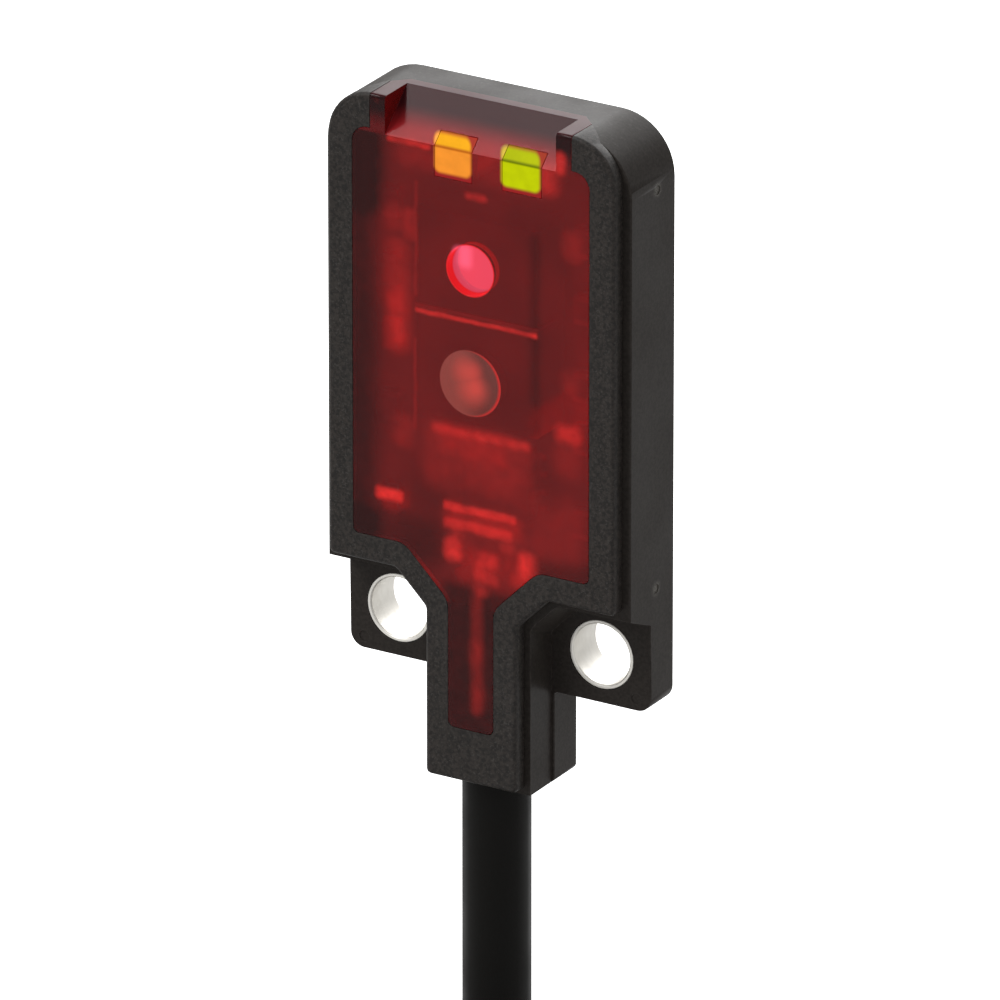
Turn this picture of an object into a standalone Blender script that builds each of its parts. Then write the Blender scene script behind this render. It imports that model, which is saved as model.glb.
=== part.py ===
"""Flat diffuse photoelectric sensor with its pre-wired cable.

The back of the sensor lies on the plane y = 0 and its window faces -Y. The origin is on the
back, midway between the two fixing holes. Sizes are in millimetres and become metres in the
helpers.
"""

import math

import bmesh
import bpy
from mathutils import Matrix, Vector

MM = 0.001
WELD = 1e-7  # metres, joins the points of a curve's caps
SMALL = math.radians(35)  # edges sharper than this stay sharp in the shading
FLAT = math.radians(0.1)  # faces closer than this to one plane are made one

# Sensor block, measured on its outside
DEPTH = 3.5
CASE_HALF = 5.94
CASE_TOP = 19.35
CASE_CORNER = 2.05
CASE_BOTTOM = 2.08
RIM = 2.95  # depth of the case's rim, from the back
CASE_STEM_HALF = 2.04
CASE_STEM_BOTTOM = -5.15
CASE_GUSSET = 1.04

# Ears and the plate behind the stem
EAR_THICK = 1.56
EAR_BOTTOM = -1.78
EAR_CORNER = 0.55
SIDE_MARKS = (2.72, 17.17)  # heights of the two gate marks on the case's right side
PLATE_STEM_HALF = 2.15
UNDERSIDE_DROP = 0.6  # how far the block's underside slopes down towards the ears
HOLE_PITCH = 8.0
SLEEVE_R = 1.25
SLEEVE_BORE_R = 1.1
SLEEVE_CHAMFER = 0.05

# Case walls
BACK_WALL = 0.5
CAVITY_HALF = 5.3
CAVITY_TOP = 18.7
CAVITY_CORNER = 1.4
CAVITY_BOTTOM = 2.72
CAVITY_STEM_HALF = 1.48
CAVITY_STEM_BOTTOM = -4.55
CAVITY_GUSSET = 1.39

# Front cover
COVER_HALF = 5.62
COVER_TOP = 19.45
COVER_CORNER = 1.75
COVER_BOTTOM = 2.4
COVER_FOOT_CORNER = 0.2
COVER_STEM_HALF = 1.8
COVER_STEM_BOTTOM = -4.93
COVER_GUSSET = 1.2
COVER_BEND = 0.32  # fillet where the gusset meets the stem and the block
COVER_EDGE = 0.15
LIP_WALL = 0.27
LIP_LONG = 0.5
LIP_END = -2.5

# Window and its lens
WINDOW_HALF = 4.64
WINDOW_TOP = 18.22
WINDOW_CORNER = 0.6
WINDOW_BOTTOM = 3.37
WINDOW_FOOT_CORNER = 0.22
STRIP_HALF = 0.9
STRIP_BOTTOM = -2.98
WINDOW_GUSSET = 1.73
WINDOW_BEND = 0.8
TAB_HALF = 3.94
POST_INNER = 3.33
SLOPE_START = 18.08  # height where the indicator slope leaves the front
SLOPE_BACK = 2.04  # depth from the back where it meets the top
SLOPE_WALL = 0.62
TAB_BACK = 1.62
TOP_OPENING_HALF = 3.43  # opening in the case's top wall, behind the lens
TOP_OPENING_BACK = 1.6
LENS_BACK = 2.85
FLANGE_FRONT = 3.13
FLANGE = 0.24

# Clearances
FIT = 0.02  # between pieces that seat in each other
BOARD_GAP = 0.03

# Circuit board and what stands on it
BOARD_THICK = 0.4
BOARD_MARGIN = 0.2
BOARD_TONGUE_HALF = 1.25
BOARD_TONGUE_BOTTOM = 0.4
BOARD_SHOULDER = 1.0  # how far the tongue widens at 45 degrees below the board
HOLDER_HALF = 2.4
HOLDER_BOTTOM = 8.0
HOLDER_TOP = 15.6
EMITTER_Z = 13.83
EMITTER_R = 0.9
RECEIVER_Z = 9.75
RECEIVER_R = 1.19
BARRIER_Z = 12.0
BARRIER_THICK = 0.12
BARRIER_DEEP = 1.2
EMITTER_RECESS = 0.05  # how far the emitter's disc sits back in its holder
EMITTER_POCKET = 0.3  # pocket in the window's front, over the emitter
DISH_DEPTH = 0.09  # hollow in the window's front, over the receiver
LENS_DISC = 0.45
DOME_RISE = 0.36
EMITTER_CHIP = (1.0, 0.45, 0.9)
RECEIVER_CHIP = (1.5, 0.5, 1.5)
IC_SIZE = (2.6, 0.7, 2.6)
IC_Z = 5.7
CHIP_SIZE = (0.6, 0.4, 1.1)
CHIP_COLUMNS = {"left": (-4.3, (4.0, 7.4, 10.0, 12.4, 14.8)), "right": (3.2, (4.6, 7.7, 9.6, 12.4, 14.8))}
INDICATOR_Z = 17.0  # bottom of the indicator windows
INDICATOR_RISE = 0.39  # how far they climb the slope
INDICATOR_LED = (1.0, 0.4, 0.6)
ORANGE_X = (-1.38, 0.05)
GREEN_X = (1.26, 2.76)
GUIDE_BACK = 1.4

# Cable
CABLE_D = 2.4
CABLE_Y = -1.75
CABLE_INNER_END = -3.4
CABLE_HOLE_GAP = 0.015
SEAL_TOP = -1.5
WIRE_D = 0.72
WIRE_PITCH = 0.78
WIRE_FAN = 1.05  # pitch where the wires start to spread over the board
SOLDER_PITCH = 1.42
WIRE_TOP = 2.1
SOLDER_R = 0.3

# Coil of the cable's spare length, hanging below the sensor
COIL_MID_R = 14.0
COIL_ROW = 2.12
COIL_ROWS = 5
COIL_COLUMN = 2.44
COIL_COLUMNS = 5
COIL_CENTRE_Y = -7.0
COIL_CENTRE_Z = -39.7
COIL_EDGE = 0.9
LEAD_JOIN = math.radians(70)  # angle the lead turns through before it joins the coil
CORD_GAP = 0.3
TIE_WIDTH = 3.0
TIE_THICK = 0.35
TIE_GAP = 0.3
TIE_CORNER = 1.0
TIE_ANGLES = (135, 315)
WIRE_END_D = 0.84
WIRE_END_START = 200
WIRE_END_STOP = 400
WIRE_END_R = 11.2
WIRE_END_STEP = 1.1
WIRE_TIP_D = 0.45
WIRE_TIP_DEG = 16

FACES = 48  # sides of a round piece
HALF_PITCH = HOLE_PITCH / 2
BOARD_BACK = BACK_WALL + BOARD_GAP
BOARD_FRONT = BOARD_BACK + BOARD_THICK
CABLE_R = CABLE_D / 2
COIL_OUTER_TURN = COIL_MID_R + COIL_ROW * (COIL_ROWS - 1) / 2
COIL_OUTER = COIL_OUTER_TURN + CABLE_R
COIL_INNER = COIL_MID_R - COIL_ROW * (COIL_ROWS - 1) / 2 - CABLE_R
COIL_HALF_WIDE = COIL_COLUMN * COIL_COLUMNS / 2
COIL_FRONT = COIL_CENTRE_Y - COIL_HALF_WIDE
LEAD_BEND_R = COIL_OUTER_TURN * math.cos(LEAD_JOIN) / (1 - math.cos(LEAD_JOIN))
LEAD_BEND_START = COIL_CENTRE_Z + (COIL_OUTER_TURN + LEAD_BEND_R) * math.sin(LEAD_JOIN)


def clear_scene():
    for obj in list(bpy.data.objects):
        bpy.data.objects.remove(obj, do_unlink=True)


def new_collection(name):
    collection = bpy.data.collections.new(name)
    bpy.context.scene.collection.children.link(collection)
    return collection


def material(name, colour, roughness=0.5, metallic=0.0):
    made = bpy.data.materials.new(name)
    made.use_nodes = True
    shader = made.node_tree.nodes["Principled BSDF"]
    shader.inputs["Base Color"].default_value = (*colour, 1.0)
    shader.inputs["Roughness"].default_value = roughness
    shader.inputs["Metallic"].default_value = metallic
    made.diffuse_color = (*colour, 1.0)
    return made


def finish(obj, colour, roughness=0.5, metallic=0.0):
    obj.data.materials.clear()
    obj.data.materials.append(material(obj.name, colour, roughness, metallic))
    if obj.type == "MESH":
        obj.data.shade_smooth()
        obj.data.set_sharp_from_angle(angle=SMALL)
    return obj


def place(name, data, location=(0, 0, 0), rotation=(0, 0, 0)):
    """An object in the sensor's collection, at a place in millimetres."""
    obj = bpy.data.objects.new(name, data)
    obj.location = Vector(location) * MM
    obj.rotation_euler = rotation
    pieces.objects.link(obj)
    return obj


def from_bmesh(name, bm, location=(0, 0, 0), rotation=(0, 0, 0)):
    bmesh.ops.recalc_face_normals(bm, faces=bm.faces)
    mesh = bpy.data.meshes.new(name)
    bm.to_mesh(mesh)
    bm.free()
    return place(name, mesh, location, rotation)


def evaluated(obj):
    """A bmesh of the object as its modifiers, or its curve settings, make it."""
    bpy.context.view_layer.update()
    graph = bpy.context.evaluated_depsgraph_get()
    mesh = bpy.data.meshes.new_from_object(obj.evaluated_get(graph))
    bm = bmesh.new()
    bm.from_mesh(mesh)
    bpy.data.meshes.remove(mesh)
    bmesh.ops.remove_doubles(bm, verts=bm.verts, dist=WELD)
    return bm


def rounded(corners, degrees=9):
    """An outline whose corners (x, z, radius) become arcs with a point every few degrees."""
    outline = []
    for i, (x, z, radius) in enumerate(corners):
        if radius <= 0:
            outline.append((x, z))
            continue
        here = Vector((x, z))
        before = (Vector(corners[i - 1][:2]) - here).normalized()
        after = (Vector(corners[(i + 1) % len(corners)][:2]) - here).normalized()
        half = before.angle(after) / 2
        centre = here + (before + after).normalized() * radius / math.sin(half)
        start = here + before * radius / math.tan(half) - centre
        turn = start.angle_signed(here + after * radius / math.tan(half) - centre)
        steps = max(3, math.ceil(math.degrees(abs(turn)) / degrees))
        for step in range(steps + 1):
            outline.append(tuple(Matrix.Rotation(-turn * step / steps, 2) @ start + centre))
    return outline


def body_outline(half, top, corner, bottom, foot, stem, end, gusset, bend):
    """The sensor's face: a block on a narrower stem, joined by 45 degree gussets."""
    right = [
        (stem, end, foot),
        (stem, bottom - gusset, bend),
        (stem + gusset, bottom, bend),
        (half, bottom, foot),
        (half, top, corner),
    ]
    left = [(-x, z, radius) for x, z, radius in reversed(right)]
    return rounded(right + left)


def flat(name, outline, thickness, location, rotation):
    """A flat piece from its outline, as a mesh whose two faces are whole."""
    curve = bpy.data.curves.new(name, "CURVE")
    curve.dimensions = "2D"
    curve.fill_mode = "BOTH"
    curve.extrude = thickness / 2 * MM
    spline = curve.splines.new("POLY")
    spline.points.add(len(outline) - 1)
    for point, (x, y) in zip(spline.points, outline):
        point.co = (x * MM, y * MM, 0, 1)
    spline.use_cyclic_u = True
    drawn = place(name, curve)
    bm = evaluated(drawn)
    bpy.data.objects.remove(drawn)
    for side in (-1, 1):
        whole = [face for face in bm.faces if all(vert.co.z * side > 0 for vert in face.verts)]
        bmesh.ops.dissolve_faces(bm, faces=whole)
    return from_bmesh(name, bm, location, rotation)


def plate(name, outline, front, back):
    """A flat piece with its outline in XZ, between two depths measured from the back plane."""
    return flat(name, outline, front - back, (0, -(front + back) / 2, 0), (math.pi / 2, 0, 0))


def prism_x(name, outline, left, right):
    """A flat piece with its outline in YZ, between two values of x."""
    return flat(name, outline, right - left, ((left + right) / 2, 0, 0), (math.pi / 2, 0, math.pi / 2))


def prism_z(name, outline, low, high):
    """A flat piece with its outline in XY, between two heights."""
    return flat(name, outline, high - low, (0, 0, (low + high) / 2), (0, 0, 0))


def box(name, x, y, z):
    """A box between two values on each axis."""
    bm = bmesh.new()
    bmesh.ops.create_cube(bm, size=1)
    bmesh.ops.scale(bm, vec=[abs(b - a) * MM for a, b in (x, y, z)], verts=bm.verts)
    return from_bmesh(name, bm, [(a + b) / 2 for a, b in (x, y, z)])


def chip(name, size, x, z):
    """A box of (width, height off the board, length) standing on the board."""
    wide, tall, long = size
    seat = -BOARD_FRONT - FIT
    return box(name, (x - wide / 2, x + wide / 2), (seat - tall, seat), (z - long / 2, z + long / 2))


def rod(name, radius, start, end, sides=FACES):
    """A cylinder between two points."""
    a, b = Vector(start), Vector(end)
    bm = bmesh.new()
    bmesh.ops.create_cone(
        bm,
        cap_ends=True,
        segments=sides,
        radius1=radius * MM,
        radius2=radius * MM,
        depth=(b - a).length * MM,
    )
    turn = Vector((0, 0, 1)).rotation_difference(b - a).to_euler()
    return from_bmesh(name, bm, (a + b) / 2, turn)


def turned(name, profile, centre, steps=FACES, closed=False):
    """A piece turned about an axis along Y. The profile is (radius, depth behind the centre)."""
    mesh = bpy.data.meshes.new(name)
    edges = [(i, i + 1) for i in range(len(profile) - 1)]
    if closed:
        edges.append((len(profile) - 1, 0))
    mesh.from_pydata([(radius * MM, 0, along * MM) for radius, along in profile], edges, [])
    obj = place(name, mesh, centre, (-math.pi / 2, 0, 0))
    screw = obj.modifiers.new("Turn", "SCREW")
    screw.axis = "Z"
    screw.angle = 2 * math.pi
    screw.steps = steps
    screw.render_steps = steps
    screw.use_merge_vertices = True
    screw.merge_threshold = WELD
    return obj


def tube(name, points, diameter):
    """A round tube along a list of points."""
    curve = bpy.data.curves.new(name, "CURVE")
    curve.dimensions = "3D"
    curve.bevel_depth = diameter / 2 * MM
    curve.bevel_resolution = 2
    curve.use_fill_caps = True
    spline = curve.splines.new("POLY")
    spline.points.add(len(points) - 1)
    for point, spot in zip(spline.points, points):
        point.co = (*(Vector(spot) * MM), 1)
    return place(name, curve)


def smooth_route(knots, step):
    """Points about one step apart on a smooth curve through the route's own points."""
    ends = [2 * Vector(knots[0]) - Vector(knots[1]), 2 * Vector(knots[-1]) - Vector(knots[-2])]
    route = [ends[0], *map(Vector, knots), ends[1]]
    line = []
    for a, b, c, d in zip(route, route[1:], route[2:], route[3:]):
        parts = max(1, round((c - b).length / step))
        for i in range(parts):
            t = i / parts
            line.append(
                b
                + (c - a) * (t / 2)
                + (2 * a - 5 * b + 4 * c - d) * (t * t / 2)
                + (3 * b - a - 3 * c + d) * (t**3 / 2)
            )
    return [*line, route[-2]]


def round_edges(obj, radius, segments, chosen):
    """Rounds the edges whose two ends pass the test, which gets places in millimetres."""
    bm = bmesh.new()
    bm.from_mesh(obj.data)
    spots = {vert: obj.matrix_basis @ vert.co / MM for vert in bm.verts}
    edges = [
        edge
        for edge in bm.edges
        if edge.calc_face_angle(0) > SMALL and all(chosen(spots[vert]) for vert in edge.verts)
    ]
    bmesh.ops.bevel(bm, geom=edges, offset=radius * MM, segments=segments, profile=0.5, affect="EDGES")
    bm.to_mesh(obj.data)
    bm.free()
    return obj


def combine(target, other, operation):
    """Joins, cuts or intersects by a Boolean and keeps the tool as a wire cutter."""
    modifier = target.modifiers.new(other.name, "BOOLEAN")
    modifier.operation = operation
    modifier.solver = "EXACT"
    modifier.object = other
    pieces.objects.unlink(other)
    cutters.objects.link(other)
    other.hide_render = True
    other.display_type = "WIRE"


def applied(obj):
    """Makes a cut piece a plain mesh, so that its new edges can be rounded, and drops its cutters."""
    bm = evaluated(obj)
    bmesh.ops.dissolve_limit(bm, angle_limit=FLAT, verts=bm.verts, edges=bm.edges)
    used = [modifier.object for modifier in obj.modifiers]
    obj.modifiers.clear()
    bm.to_mesh(obj.data)
    bm.free()
    for cutter in used:
        bpy.data.objects.remove(cutter)
    return obj


def join(target, *others):
    for other in others:
        combine(target, other, "UNION")
    return target


def cut(target, *others):
    for other in others:
        combine(target, other, "DIFFERENCE")
    return target


def cover_outline(inset=0.0):
    spread = (2 - math.sqrt(2)) * inset
    return body_outline(
        COVER_HALF - inset,
        COVER_TOP - inset,
        COVER_CORNER - inset,
        COVER_BOTTOM + inset,
        COVER_FOOT_CORNER,
        COVER_STEM_HALF - inset,
        COVER_STEM_BOTTOM + inset,
        COVER_GUSSET + spread,
        COVER_BEND,
    )


def cavity_outline(inset=0.0):
    spread = (2 - math.sqrt(2)) * inset
    return body_outline(
        CAVITY_HALF - inset,
        CAVITY_TOP - inset,
        CAVITY_CORNER - inset,
        CAVITY_BOTTOM + inset,
        0.2,
        CAVITY_STEM_HALF - inset,
        CAVITY_STEM_BOTTOM + inset,
        CAVITY_GUSSET + spread,
        0.3,
    )


def window_outline(grow=0.0):
    spread = (2 - math.sqrt(2)) * grow
    return body_outline(
        WINDOW_HALF + grow,
        WINDOW_TOP + grow,
        WINDOW_CORNER + grow,
        WINDOW_BOTTOM - grow,
        WINDOW_FOOT_CORNER,
        STRIP_HALF + grow,
        STRIP_BOTTOM - grow,
        WINDOW_GUSSET - spread,
        WINDOW_BEND,
    )


def ramp_x(y, gap=0.0):
    """Half width, at a depth, of the 45 degree opening in the case's top wall."""
    return TOP_OPENING_HALF - TOP_OPENING_BACK - gap - y


def ramp_cutter(name, side):
    """Clears the lens and the cover from one side of the case's top wall."""
    inner, outer = FIT - TOP_OPENING_BACK + 0.1, -RIM - FIT - 0.01
    around = [
        (side * ramp_x(inner, 2 * FIT), 0),
        (side * ramp_x(inner, 2 * FIT), inner),
        (side * ramp_x(outer, 2 * FIT), outer),
        (side * (CASE_HALF + 1), outer),
        (side * (CASE_HALF + 1), 0),
    ]
    return prism_z(name, around, CAVITY_TOP - FIT / 2, COVER_TOP + 1)


def rear_case():
    plan = rounded(
        [
            (PLATE_STEM_HALF, CASE_STEM_BOTTOM, 0.2),
            (PLATE_STEM_HALF, EAR_BOTTOM, 0.15),
            (CASE_HALF, EAR_BOTTOM, EAR_CORNER),
            (CASE_HALF, CASE_TOP, CASE_CORNER),
            (-CASE_HALF, CASE_TOP, CASE_CORNER),
            (-CASE_HALF, EAR_BOTTOM, EAR_CORNER),
            (-PLATE_STEM_HALF, EAR_BOTTOM, 0.15),
            (-PLATE_STEM_HALF, CASE_STEM_BOTTOM, 0.2),
        ]
    )
    case = plate("rear_case", plan, RIM, 0)
    round_edges(case, 0.1, 3, lambda p: p.y > -0.001)
    round_edges(case, 0.05, 2, lambda p: p.y < 0.001 - RIM)
    slope = UNDERSIDE_DROP / (RIM - EAR_THICK)
    for side in (-1, 1):
        relief = rounded(
            [
                (side * CASE_STEM_HALF, CASE_STEM_BOTTOM - 3, 0),
                (side * CASE_STEM_HALF, CASE_BOTTOM - CASE_GUSSET, COVER_BEND),
                (side * (CASE_STEM_HALF + CASE_GUSSET), CASE_BOTTOM, COVER_BEND),
                (side * (CASE_HALF + 2), CASE_BOTTOM, 0),
                (side * (CASE_HALF + 2), CASE_STEM_BOTTOM - 3, 0),
            ]
        )
        cutter = plate(f"ear_relief_{side}", relief, DEPTH, EAR_THICK)
        drop = slope * ((DEPTH + EAR_THICK) / 2 - RIM)
        cutter.data.transform(Matrix.Translation((0, drop * MM, 0)) @ Matrix.Shear("XY", 4, (0, slope)))
        cut(case, cutter)
    applied(case)
    round_edges(
        case,
        0.06,
        2,
        lambda p: abs(p.y + EAR_THICK) < 0.001
        and (p.z < EAR_BOTTOM + EAR_CORNER + 0.01 or abs(p.x) > CASE_HALF - 0.01),
    )
    right = [(ramp_x(y), y) for y in (-TOP_OPENING_BACK, -RIM - 0.1)]
    right.append((right[-1][0], -DEPTH))
    opening = right + [(-x, y) for x, y in reversed(right)]
    cavity = plate("case_cavity", cavity_outline(), DEPTH, BACK_WALL)
    top_opening = prism_z("case_top_opening", opening, CAVITY_TOP - 0.3, CASE_TOP + 1)
    for z in SIDE_MARKS:
        ends = (CASE_HALF - 0.03, -1.22, z), (CASE_HALF + 1, -1.22, z)
        cut(case, rod(f"side_mark_{z}", 0.17, *ends, 20))
    hole = rod(
        "case_cable_hole",
        CABLE_R + CABLE_HOLE_GAP,
        (0, CABLE_Y, CASE_STEM_BOTTOM - 1),
        (0, CABLE_Y, CAVITY_STEM_BOTTOM + 0.3),
    )
    cut(case, cavity, top_opening, hole)
    for side in (-1, 1):
        seat = rod(
            f"sleeve_seat_{side}",
            SLEEVE_R + FIT / 2,
            (side * HALF_PITCH, 1, 0),
            (side * HALF_PITCH, -EAR_THICK - 1, 0),
        )
        mark = rod(
            f"ejector_mark_{side}",
            0.2,
            (side * (CASE_HALF - 0.56), -EAR_THICK + 0.03, EAR_BOTTOM + 0.45),
            (side * (CASE_HALF - 0.56), -EAR_THICK - 1, EAR_BOTTOM + 0.45),
            20,
        )
        cut(case, seat, mark)
    return finish(case, (0.045, 0.042, 0.038), 0.45)


def front_cover():
    cover = plate("front_cover", cover_outline(), DEPTH, TAB_BACK)
    round_edges(cover, COVER_EDGE, 4, lambda p: p.y < 0.001 - DEPTH)
    behind = box(
        "cover_back_cut",
        (-CASE_HALF, CASE_HALF),
        (-RIM - FIT, 0),
        (CASE_STEM_BOTTOM - 1, CAVITY_TOP + FIT),
    )
    lip = plate("cover_lip", cavity_outline(BOARD_GAP), RIM + 3 * FIT, RIM - LIP_LONG)
    cut(
        lip,
        plate("lip_inside", cavity_outline(BOARD_GAP + LIP_WALL), DEPTH, 0),
        box("lip_end", (-CAVITY_HALF, CAVITY_HALF), (-DEPTH, 0), (CASE_STEM_BOTTOM, LIP_END)),
    )
    cut(cover, behind)
    join(cover, lip)
    cut(
        cover,
        plate("cover_window_cut", window_outline(), DEPTH + 1, 0),
        plate("cover_rebate_cut", window_outline(FLANGE + FIT), FLANGE_FRONT + FIT, 0.5),
        box("cover_tab_cut", (-TAB_HALF, TAB_HALF), (-DEPTH - 2, 0.5), (WINDOW_TOP - 0.5, COVER_TOP + 1)),
        ramp_cutter("cover_ramp_cut_left", -1),
        ramp_cutter("cover_ramp_cut_right", 1),
    )
    return finish(cover, (0.05, 0.048, 0.045), 0.6)


def lens_window():
    lens = plate("lens_window", cover_outline(), DEPTH, TAB_BACK)
    round_edges(lens, COVER_EDGE, 4, lambda p: p.y < 0.001 - DEPTH)
    plug = plate("lens_plug", window_outline(-FIT), DEPTH + 1, 0)
    tab = box(
        "lens_tab",
        (FIT - TAB_HALF, TAB_HALF - FIT),
        (-DEPTH - 2, 1),
        (WINDOW_TOP - 0.4, COVER_TOP + 1),
    )
    join(plug, tab)
    combine(lens, plug, "INTERSECT")
    cut(
        lens,
        box("lens_back_cut", (-CASE_HALF, CASE_HALF), (-LENS_BACK, 0), (CASE_STEM_BOTTOM, WINDOW_TOP)),
    )
    join(lens, plate("lens_flange", window_outline(FLANGE), FLANGE_FRONT, LENS_BACK + FIT))
    low = Vector((-DEPTH, SLOPE_START))
    high = Vector((-SLOPE_BACK, COVER_TOP))
    along = (high - low).normalized()
    inward = Vector((along.y, -along.x)) * SLOPE_WALL
    start, end = low - along * 0.4, high + along * 0.4
    slope = prism_x("lens_slope_cut", [start, end, (start.x, end.y)], -POST_INNER, POST_INNER)
    inner = low + inward
    rise = along.y / along.x
    core_low = WINDOW_TOP - 0.05
    core = [
        (inner.x + (core_low - inner.y) / rise, core_low),
        (0.1 - TAB_BACK, inner.y + rise * (0.1 - TAB_BACK - inner.x)),
        (0.1 - TAB_BACK, core_low),
    ]
    cut(
        lens,
        slope,
        prism_x("lens_core_cut", core, -POST_INNER, POST_INNER),
        ramp_cutter("lens_ramp_cut_left", -1),
        ramp_cutter("lens_ramp_cut_right", 1),
    )
    for name, (left, right) in (("orange", ORANGE_X), ("green", GREEN_X)):
        top = SLOPE_START + INDICATOR_RISE
        cut(
            lens,
            box(
                f"{name}_pocket",
                (left - FIT, right + FIT),
                (-DEPTH - 1, 0),
                (INDICATOR_Z - FIT, top + FIT),
            ),
        )
    pocket_ends = (0, -DEPTH - 1, EMITTER_Z), (0, EMITTER_POCKET - DEPTH, EMITTER_Z)
    cut(lens, rod("emitter_pocket", EMITTER_R, *pocket_ends, FACES))
    ball = (RECEIVER_R**2 + DISH_DEPTH**2) / (2 * DISH_DEPTH)
    top = ball - DISH_DEPTH
    edge = math.asin(RECEIVER_R / ball)
    dish = []
    for i in range(9):
        angle = edge * i / 8
        dish.append((ball * math.sin(angle), ball * math.cos(angle) - top))
    dish += [(RECEIVER_R, -1), (0, -1)]
    cut(lens, turned("receiver_dish", dish, (0, -DEPTH, RECEIVER_Z)))
    return finish(lens, (0.32, 0.02, 0.03), 0.12)


def light_guide(name, span, colour):
    slope = (DEPTH - SLOPE_BACK) / (COVER_TOP - SLOPE_START)
    top = SLOPE_START + INDICATOR_RISE
    outline = [
        (-DEPTH, INDICATOR_Z),
        (-DEPTH, SLOPE_START),
        (-DEPTH + INDICATOR_RISE * slope, top),
        (-GUIDE_BACK, top),
        (-GUIDE_BACK, INDICATOR_Z),
    ]
    return finish(prism_x(name, outline, *span), colour, 0.3)


def optic_holder():
    back = BOARD_FRONT + FIT
    front = LENS_BACK - FIT
    holder = box(
        "optic_holder",
        (-HOLDER_HALF, HOLDER_HALF),
        (-front, -back),
        (HOLDER_BOTTOM, HOLDER_TOP),
    )
    round_edges(holder, 0.15, 2, lambda p: True)
    cut(
        holder,
        rod("emitter_bore", EMITTER_R, (0, 1, EMITTER_Z), (0, -DEPTH - 1, EMITTER_Z)),
        rod("receiver_bore", RECEIVER_R, (0, 1, RECEIVER_Z), (0, -DEPTH - 1, RECEIVER_Z)),
        box(
            "barrier_slot",
            (-HOLDER_HALF - 1, HOLDER_HALF + 1),
            (-front - 1, -front + BARRIER_DEEP),
            (BARRIER_Z - BARRIER_THICK / 2 - FIT, BARRIER_Z + BARRIER_THICK / 2 + FIT),
        ),
    )
    finish(holder, (0.02, 0.02, 0.022), 0.5)
    barrier = box(
        "light_barrier",
        (-HOLDER_HALF, HOLDER_HALF),
        (-front, -front + BARRIER_DEEP - FIT),
        (BARRIER_Z - BARRIER_THICK / 2, BARRIER_Z + BARRIER_THICK / 2),
    )
    finish(barrier, (0.6, 0.58, 0.55), 0.3, 1.0)
    return front


def optics(front):
    emitter_front = front - EMITTER_RECESS
    lens = [(0, LENS_DISC), (EMITTER_R - FIT, LENS_DISC), (EMITTER_R - FIT, 0.1), (0, 0)]
    finish(turned("emitter_lens", lens, (0, -emitter_front, EMITTER_Z)), (0.7, 0.1, 0.12), 0.1)
    radius = RECEIVER_R - FIT
    sphere = (radius**2 + DOME_RISE**2) / (2 * DOME_RISE)
    edge = math.asin(radius / sphere)
    dome = [(0, DOME_RISE + LENS_DISC), (radius, DOME_RISE + LENS_DISC)]
    for i in range(8, -1, -1):
        dome.append((sphere * math.sin(edge * i / 8), sphere * (1 - math.cos(edge * i / 8))))
    finish(turned("receiver_lens", dome, (0, -front + FIT, RECEIVER_Z)), (0.7, 0.1, 0.12), 0.1)
    finish(chip("emitter_led", EMITTER_CHIP, 0, EMITTER_Z), (0.75, 0.72, 0.68), 0.35)
    finish(chip("receiver_photodiode", RECEIVER_CHIP, 0, RECEIVER_Z), (0.05, 0.05, 0.06), 0.3)


def electronics():
    half = CAVITY_HALF - BOARD_MARGIN
    bottom = CAVITY_BOTTOM + BOARD_MARGIN
    corners = [
        (BOARD_TONGUE_HALF, BOARD_TONGUE_BOTTOM, 0.2),
        (BOARD_TONGUE_HALF, bottom - BOARD_SHOULDER, 0.2),
        (BOARD_TONGUE_HALF + BOARD_SHOULDER, bottom, 0.2),
        (half, bottom, 0.4),
        (half, CAVITY_TOP - BOARD_MARGIN, CAVITY_CORNER - BOARD_MARGIN),
    ]
    corners += [(-x, z, radius) for x, z, radius in reversed(corners)]
    board = plate("circuit_board", rounded(corners, 15), BOARD_FRONT, BOARD_BACK)
    finish(board, (0.02, 0.16, 0.07), 0.4)
    finish(chip("control_ic", IC_SIZE, 0, IC_Z), (0.03, 0.03, 0.035), 0.4)
    for side, (x, heights) in CHIP_COLUMNS.items():
        for i, z in enumerate(heights):
            finish(chip(f"chip_{side}_{i + 1}", CHIP_SIZE, x, z), (0.35, 0.28, 0.2), 0.5)
    for name, span, colour in (
        ("orange", ORANGE_X, (1.0, 0.45, 0.05)),
        ("green", GREEN_X, (0.45, 0.9, 0.05)),
    ):
        middle = (span[0] + span[1]) / 2
        led_z = INDICATOR_Z + (SLOPE_START + INDICATOR_RISE - INDICATOR_Z) / 2
        finish(chip(f"{name}_led", INDICATOR_LED, middle, led_z), (0.85, 0.82, 0.75), 0.4)
        light_guide(f"{name}_light_guide", span, colour)


def sleeves():
    c, bore, outer, long = SLEEVE_CHAMFER, SLEEVE_BORE_R, SLEEVE_R, EAR_THICK
    profile = [
        (bore, c),
        (bore, long - c),
        (bore + c, long),
        (outer - c / 2, long),
        (outer, long - c / 2),
        (outer, c / 2),
        (outer - c / 2, 0),
        (bore + c, 0),
    ]
    for side, name in ((-1, "left"), (1, "right")):
        sleeve = turned(
            f"mounting_sleeve_{name}", profile, (side * HALF_PITCH, -long, 0), 64, closed=True
        )
        finish(sleeve, (0.68, 0.66, 0.62), 0.3, 1.0)


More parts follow.
